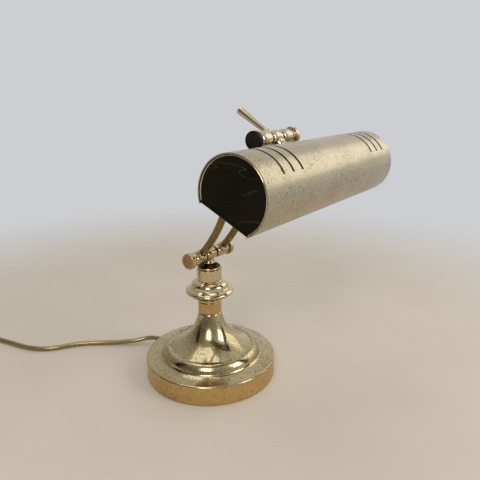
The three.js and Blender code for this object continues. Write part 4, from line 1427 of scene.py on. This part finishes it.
for side, tag in ((-1, "near"), (1, "far")):
    low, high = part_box(f"end_plate_{tag}")
    back = high.x if side < 0 else low.x
    rings = [
        [(side * out, y, z) for y, z in plate_outline(PLATE_RADIUS - inset, PLATE_CHORD - inset)]
        for inset, out in plate_section
    ]
    stand = Matrix.Translation((back, SHADE_AXIS.y, SHADE_AXIS.z))
    plate = skinned(f"end_plate_{tag}_stamped", rings, True, stand, 50)
    fitted(plate, painted_dark_plate_brass, "shade", "polished_brass", f"end_plate_{tag}")
    plate.data.materials.append(buffed_brass)
    # Only the face is painted dark as a reflection; the raised edge keeps the gold of the brass.
    for face in plate.data.polygons:
        spot = (face.center - SHADE_AXIS).yz / MM
        raised = abs(face.center.x - back) / MM > BEAD_FOOT
        on_arc = spot.length < PLATE_RADIUS - 0.4 and spot.dot(to_mouth) < PLATE_CHORD - PLATE_FLAT - 0.2
        if raised and on_arc:
            face.material_index = 1


# ------------------------------------------------------------------ lampholder and lamp
# A bent steel strip under the shade holds a white moulded E14 holder, ribbed and ringed, and a clear
# tubular lamp with its steel screw cap. The white lead comes out of the stud and round into the holder.

# White thermoset gone a little creamy: a fine grain, half matt.
moulded_white, tree, place, shader = blank_material("moulded_white_thermoset")
speck = add(tree, "ShaderNodeTexNoise", {"Scale": 700.0, "Detail": 4.0}, {"Vector": place})
warm = add(tree, "ShaderNodeTexNoise", {"Scale": 50.0, "Detail": 3.0}, {"Vector": place})
tone = add(
    tree,
    "ShaderNodeMix",
    {"data_type": "RGBA", 6: linear("#e4dfd1"), 7: linear("#d3ccb8")},
    {0: warm.outputs["Fac"]},
)
grain = add(tree, "ShaderNodeBump", {"Strength": 0.2, "Distance": 0.00005}, {"Height": speck.outputs["Fac"]})
dull = add(
    tree,
    "ShaderNodeMapRange",
    {"From Min": 0.3, "From Max": 0.7, "To Min": 0.34, "To Max": 0.5},
    {"Value": warm.outputs["Fac"]},
)
tree.links.new(tone.outputs[2], shader.inputs["Base Color"])
tree.links.new(grain.outputs["Normal"], shader.inputs["Normal"])
tree.links.new(dull.outputs["Result"], shader.inputs["Roughness"])

# Blown tube glass: faint dust, otherwise clear.
clear_glass, tree, place, shader = blank_material("clear_lamp_glass")
dust = add(tree, "ShaderNodeTexNoise", {"Scale": 300.0, "Detail": 5.0}, {"Vector": place})
haze = add(
    tree,
    "ShaderNodeMapRange",
    {"From Min": 0.5, "From Max": 0.75, "To Min": 0.02, "To Max": 0.18},
    {"Value": dust.outputs["Fac"]},
)
tone = add(
    tree,
    "ShaderNodeMix",
    {"data_type": "RGBA", 6: linear("#f6f7f5"), 7: linear("#e9ebe6")},
    {0: dust.outputs["Fac"]},
)
tree.links.new(haze.outputs["Result"], shader.inputs["Roughness"])
tree.links.new(tone.outputs[2], shader.inputs["Base Color"])
shader.inputs["Transmission Weight"].default_value = 1.0
shader.inputs["IOR"].default_value = 1.5

ON_SHADE = Matrix.Translation(SHADE_AXIS) @ ON_X
HOLDER_FACE = 32.0
HOLDER_BACK = 68.0
HOLDER_RADIUS = 11.4
LAMP_RADIUS = 12.5
LAMP_LENGTH = 96.0
LEAD_RADIUS = 2.2
holder_ribs = []
for k in range(9):
    x = HOLDER_FACE + 11.0 + k * 2.2
    groove = HOLDER_RADIUS - 0.5
    holder_ribs += [(HOLDER_RADIUS, x), (HOLDER_RADIUS, x + 1.3), (groove, x + 1.5), (groove, x + 2.0)]
holder = turned(
    "lampholder_moulded",
    [
        (0, HOLDER_BACK + 4),
        (4.6, HOLDER_BACK + 4),
        (5.0, HOLDER_BACK + 3.6),
        (5.0, HOLDER_BACK),
        (7.6, HOLDER_BACK),
        (8.6, HOLDER_BACK - 0.4),
        (11.0, HOLDER_BACK - 3.6),
        (HOLDER_RADIUS, HOLDER_BACK - 4.4),
        *holder_ribs[::-1],
        (HOLDER_RADIUS, HOLDER_FACE + 10),
        (HOLDER_RADIUS, HOLDER_FACE + 0.4),
        (11.1, HOLDER_FACE),
        (9.3, HOLDER_FACE),
        (9.0, HOLDER_FACE + 0.3),
        (9.0, HOLDER_BACK - 10),
        (0, HOLDER_BACK - 10),
    ],
    ON_SHADE,
    96,
)
fitted(holder, moulded_white, "shade", "white_plastic", "lampholder_body")
holder_ring = turned(
    "lampholder_ring_moulded",
    eased([(11.7, 34.0), (13.3, 34.0), (13.3, 40.0), (11.7, 40.0)], 0.5, 3),
    ON_SHADE,
    96,
)
fitted(holder_ring, moulded_white, "shade", "white_plastic", "lampholder_ring")

screw = []
for k in range(7):
    x = 38.0 + k * 2.4
    screw += [(6.3, x), (6.8, x + 0.7), (6.8, x + 1.2), (6.3, x + 1.9)]
cap_contact = [(0, 57.7), (2.2, 57.7), (2.5, 57.4), (3.0, 56.4), (6.2, 54.9)]
lamp_cap = turned(
    "lamp_cap_pressed", [*cap_contact, *screw[::-1], (6.7, 36.8), (6.8, 36.0), (0, 36.0)], ON_SHADE, 80
)
fitted(lamp_cap, zinc_plate, "shade", "zinc_steel", "bulb_cap")
LAMP_TIP = HOLDER_FACE - LAMP_LENGTH
lamp_shoulder = flowing([(7.4, 30.7), (8.2, 28.8), (10.6, 25.4), (12.0, 23.6), (LAMP_RADIUS, 21.8)], 3)
tip_knots = [(LAMP_RADIUS, 8), (12.1, 5.4), (10.5, 3.1), (6.5, 0.9), (2.5, 0.1)]
lamp_end = flowing([(r, LAMP_TIP + x) for r, x in tip_knots], 4)
lamp_tube = [(LAMP_RADIUS, 21.0 - k * 7.0) for k in range(12)]
glass_outside = sorted([(6.4, 35.7), *lamp_shoulder, *lamp_tube, *lamp_end], key=lambda p: -p[1])
glass_inside = [(max(r - 1.0, 0.5), x + (0.9 if x < LAMP_TIP + 7 else 0.0)) for r, x in glass_outside]
lamp_glass = turned(
    "lamp_glass_blown",
    [*glass_outside, (0, LAMP_TIP), (0, LAMP_TIP + 1.0), *glass_inside[::-1]],
    ON_SHADE,
    96,
)
fitted(lamp_glass, clear_glass, "shade", "bulb_glass", "bulb_glass")

# Coiled tungsten on its two support wires, seen through the glass.
tungsten, tree, place, shader = blank_material("tungsten_wire")
drawn = add(tree, "ShaderNodeTexNoise", {"Scale": 900.0, "Detail": 2.0}, {"Vector": place})
tone = add(
    tree,
    "ShaderNodeMix",
    {"data_type": "RGBA", 6: linear("#6f6d6a"), 7: linear("#9b9894")},
    {0: drawn.outputs["Fac"]},
)
tree.links.new(tone.outputs[2], shader.inputs["Base Color"])
shader.inputs["Metallic"].default_value = 1.0
shader.inputs["Roughness"].default_value = 0.4
filament_line = []
for k in range(241):
    t = k / 240
    x = 22.0 - t * 68.0
    turn = 2 * math.pi * 30 * t
    swell = 1.0 if 0.06 < t < 0.94 else 0.25
    filament_line.append(
        SHADE_AXIS + Vector((x, 4.0 + swell * math.cos(turn), swell * math.sin(turn))) * MM
    )
filament_line = [
    SHADE_AXIS + Vector((35.5, 1.0, 0)) * MM,
    SHADE_AXIS + Vector((28.0, 3.6, 0)) * MM,
    *filament_line,
    SHADE_AXIS + Vector((-50.0, 0.0, 0)) * MM,
    SHADE_AXIS + Vector((-46.0, -3.6, 0)) * MM,
    SHADE_AXIS + Vector((24.0, -3.6, 0)) * MM,
    SHADE_AXIS + Vector((35.5, -1.0, 0)) * MM,
]
filament = grown(
    "lamp_filament",
    follow_tree(tungsten),
    line_mesh("filament_line", filament_line),
    {"Radius": 0.2 * MM, "Sides": 6},
)
filament.data.materials.clear()
filament.data.materials.append(tungsten)
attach(filament, "shade")

dress(zinc_plate, "lampholder_bracket")
dress(moulded_white, "base_lead", "arm_lead")
UP_STUD = pointing(SHADE_AXIS, STUD_ANGLE + 180)
stud_tip = SHADE_DISTANCE - stud_end
lead_knots = [
    (0, 0, stud_tip - 0.6),
    (0, 0, stud_tip - 1.4),
    (2.4, 0, stud_tip - 3.6),
    (14, -2, stud_tip - 4.4),
    (40, -9, 18.5),
    (58, -13, 15.5),
    (74, -14, 11),
    (87, -11, 6),
    (94, -5, 2),
    (91.5, -1, 0.2),
    (85, 0, 0),
    (HOLDER_BACK + 4 + GAP, 0, 0),
]


def threaded(knots, steps=10):
    """A smooth line of points through knots in space."""
    line = []
    last = len(knots) - 1
    for i in range(last):
        a, b = Vector(knots[max(i - 1, 0)]), Vector(knots[i])
        c, d = Vector(knots[i + 1]), Vector(knots[min(i + 2, last)])
        near, far = (c - b).length, max((d - c).length, 0.001)
        back = max((b - a).length, 0.001)
        out = (c - a) * (near / (near + back)) if back > 0.01 else c - b
        into = (d - b) * (near / (near + far)) if far > 0.01 else c - b
        for step in range(steps):
            t = step / steps
            line.append(
                b * (2 * t**3 - 3 * t**2 + 1)
                + out * (t**3 - 2 * t**2 + t)
                + c * (3 * t**2 - 2 * t**3)
                + into * (t**3 - t**2)
            )
    return [*line, Vector(knots[-1])]


lead_line = [UP_STUD @ (point * MM) for point in threaded(lead_knots)]
shade_lead = grown(
    "shade_lead_sheathed",
    follow_tree(moulded_white),
    line_mesh("shade_lead_line", lead_line),
    {"Radius": LEAD_RADIUS * MM, "Sides": 24},
)
fitted(shade_lead, moulded_white, "shade", "white_plastic", "shade_lead")


# ------------------------------------------------------------------ in-line switch
# Two brown moulded halves clamped over the flex, with a parting line between them and a white rocker in
# a recessed window on top.
ON_SWITCH = Matrix.Translation((SWITCH_CENTRE[0] * MM, SWITCH_CENTRE[1] * MM, 0)) @ Matrix.Rotation(
    SWITCH_HEADING, 4, "Z"
)
SWITCH_SPLIT = 6.48
SWITCH_TOP = 14.4
SWITCH_LONG = 30.0  # half its length
SWITCH_WIDE = 11.0  # half its width


def pill(half_long, half_wide, power=3.2, count=96):
    """A long rounded plan outline."""
    points = []
    for k in range(count):
        turn = 2 * math.pi * k / count
        c, s = math.cos(turn), math.sin(turn)
        points.append(
            (
                half_long * math.copysign(abs(c) ** (2 / power), c),
                half_wide * math.copysign(abs(s) ** (2 / power), s),
            )
        )
    return points


def moulding(name, layers, stand, ends=True):
    """A closed moulding through plan outlines, each [list of points, height]."""
    rings = [[(x, y, height) for x, y in points] for points, height in layers]
    return skinned(name, rings, ends, stand, 38)


def round_window(half_long, half_wide, points):
    """The window's own outline, one point for each of the moulding's, so the two can be joined."""
    return [
        (
            half_long * max(-1.0, min(1.0, x / SWITCH_LONG * 2.6)),
            half_wide * max(-1.0, min(1.0, y / SWITCH_WIDE * 1.9)),
        )
        for x, y in points
    ]


switch_lower = moulding(
    "switch_base_moulded",
    [
        (pill(28.6, 9.9), 0.1),
        (pill(29.5, 10.7), 0.5),
        (pill(SWITCH_LONG, SWITCH_WIDE), 1.6),
        (pill(SWITCH_LONG, SWITCH_WIDE), SWITCH_SPLIT - 0.5),
        (pill(29.7, 10.75), SWITCH_SPLIT),
    ],
    ON_SWITCH,
)
fitted(switch_lower, moulded_pvc, "base", "brown_plastic", "switch_base")

crown = pill(26.4, 7.9)
window = round_window(7.6, 4.3, crown)
switch_upper = moulding(
    "switch_cover_moulded",
    [
        (pill(29.7, 10.75), SWITCH_SPLIT + GAP),
        (pill(SWITCH_LONG, SWITCH_WIDE), SWITCH_SPLIT + 0.8),
        (pill(SWITCH_LONG, SWITCH_WIDE), SWITCH_TOP - 4.6),
        (pill(29.5, 10.6), SWITCH_TOP - 2.4),
        (pill(28.2, 9.5), SWITCH_TOP - 0.7),
        (crown, SWITCH_TOP),
        (round_window(8.3, 5.0, crown), SWITCH_TOP),
        (window, SWITCH_TOP - 0.6),
        (window, SWITCH_TOP - 4.2),
        (window, SWITCH_SPLIT + 0.35),
        (pill(26.0, 8.0), SWITCH_SPLIT + GAP),
    ],
    ON_SWITCH,
    ends=False,
)
fitted(switch_upper, moulded_pvc, "base", "brown_plastic", "switch_cover")

ROCKER_TILT = Matrix.Translation((0, 0, 13.8 * MM)) @ Matrix.Rotation(math.radians(8), 4, "Y")
rocker_side = [
    (-7.0, 0.8),
    *[(-7.0 + 14.0 * k / 12, -4.0 + 4.8 * abs(2 * k / 12 - 1) ** 2.4) for k in range(1, 12)],
    (7.0, 0.8),
    (6.95, 2.1),
    (6.7, 2.55),
    (6.2, 2.6),
    *[(6.2 - 12.4 * k / 12, 1.9 + 0.68 * abs(1 - 2 * k / 12) ** 1.6) for k in range(1, 12)],
    (-6.2, 2.6),
    (-6.7, 2.55),
    (-6.95, 2.1),
]
rocker_layers = [
    ([(x * s, z * s) for x, z in rocker_side], y)
    for y, s in ((-4.0, 0.95), (-3.8, 0.985), (-3.4, 1.0), (3.4, 1.0), (3.8, 0.985), (4.0, 0.95))
]
rocker = moulding(
    "switch_rocker_moulded",
    rocker_layers,
    ON_SWITCH @ ROCKER_TILT @ Matrix.Rotation(math.pi / 2, 4, "X"),
)
fitted(rocker, moulded_white, "rocker", "white_plastic", "switch_rocker")


# ------------------------------------------------------------------ plug
# A moulded brown two-pin plug: a waisted neck, a flat grip with finger ribs, and two plated round pins.
# It lies flat on the table at the far end of the flex.
plug_low, plug_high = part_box("plug_body")
PLUG_MIDDLE = (plug_low.z + plug_high.z) / 2 / MM
ON_PLUG = Matrix.Translation((plug_low.x, (plug_low.y + plug_high.y) / 2, PLUG_MIDDLE * MM)) @ ON_X
plug_rows = [
    (0.0, 3.6, 3.6),
    (0.3, 4.1, 4.1),
    (1.2, 4.5, 4.4),
    (8.0, 5.6, 5.0),
    (11.0, 7.2, 5.5),
    (14.0, 10.4, 6.1),
    (16.5, 12.5, 6.5),
    (18.5, 13.0, 6.75),
]
for k in range(4):
    x = 19.4 + k * 2.4
    plug_rows += [(x, 12.2, 6.2), (x + 0.9, 12.2, 6.2), (x + 1.3, 13.0, 6.75), (x + 1.9, 13.0, 6.75)]
plug_rows += [(32.0, 13.0, 6.75), (33.3, 12.8, 6.6), (33.8, 12.3, 6.2), (34.0, 11.4, 5.4)]
plug_body = moulding(
    "plug_body_moulded",
    [([(-z, y) for y, z in pill(wide, thick, 3.4)], along) for along, wide, thick in plug_rows],
    ON_PLUG,
)
fitted(plug_body, moulded_pvc, "base", "brown_plastic", "plug_body")
for tag in ("a", "b"):
    low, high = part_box(f"plug_pin_{tag}")
    pin = turned(
        f"plug_pin_{tag}_turned",
        [(0, 0), (2.0, 0), (2.0, 17.0), (1.85, 18.0), (1.4, 18.7), (0.7, 19.0), (0, 19.0)],
        Matrix.Translation((low.x - GAP * MM, (low.y + high.y) / 2, (low.z + high.z) / 2)) @ ON_X,
        48,
    )
    fitted(pin, zinc_plate, "base", "zinc_steel", f"plug_pin_{tag}")


# ------------------------------------------------------------------ wire tie
# A brown plastic-coated wire closed round the band of the coil in a soft square loop. It is pressed thin
# where it passes under the coil.
TIE_HALF_HEIGHT = 6.0
TIE_MIDDLE = 5.9
tie_place = Matrix.Translation(
    (COIL_CENTRE[0] * MM + 0.5 * COIL_MIDDLE * MM, COIL_CENTRE[1] * MM - 0.866 * COIL_MIDDLE * MM, 0)
) @ Matrix.Rotation(math.radians(-60), 4, "Z")
tie_path = []
for k in range(64):
    turn = 2 * math.pi * k / 64
    c, s = math.cos(turn), math.sin(turn)
    x = (COIL_HALF_BAND + 3.4) * math.copysign(abs(c) ** 0.55, c)
    z = TIE_MIDDLE + TIE_HALF_HEIGHT * math.copysign(abs(s) ** 0.55, s)
    tie_path.append((x, max(z, 0.05)))
tie_rings = []
for (x, z), (x2, z2) in zip(tie_path, tie_path[1:] + tie_path[:1]):
    run = Vector((x2 - x, 0, z2 - z)).normalized()
    out = Vector((run.z, 0, -run.x))
    thick = 0.04 if z < 0.3 else 0.45
    ring = []
    for k in range(12):
        turn = 2 * math.pi * k / 12
        spot = Vector((x, 0, z)) + out * (math.cos(turn) * thick) + Vector((0, math.sin(turn) * 1.3, 0))
        spot.z = max(spot.z, 0.01)
        ring.append(spot)
    tie_rings.append(ring)
tie = skinned("wire_tie", tie_rings, False, tie_place)
tie.data.materials.append(moulded_pvc)
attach(tie, "base")
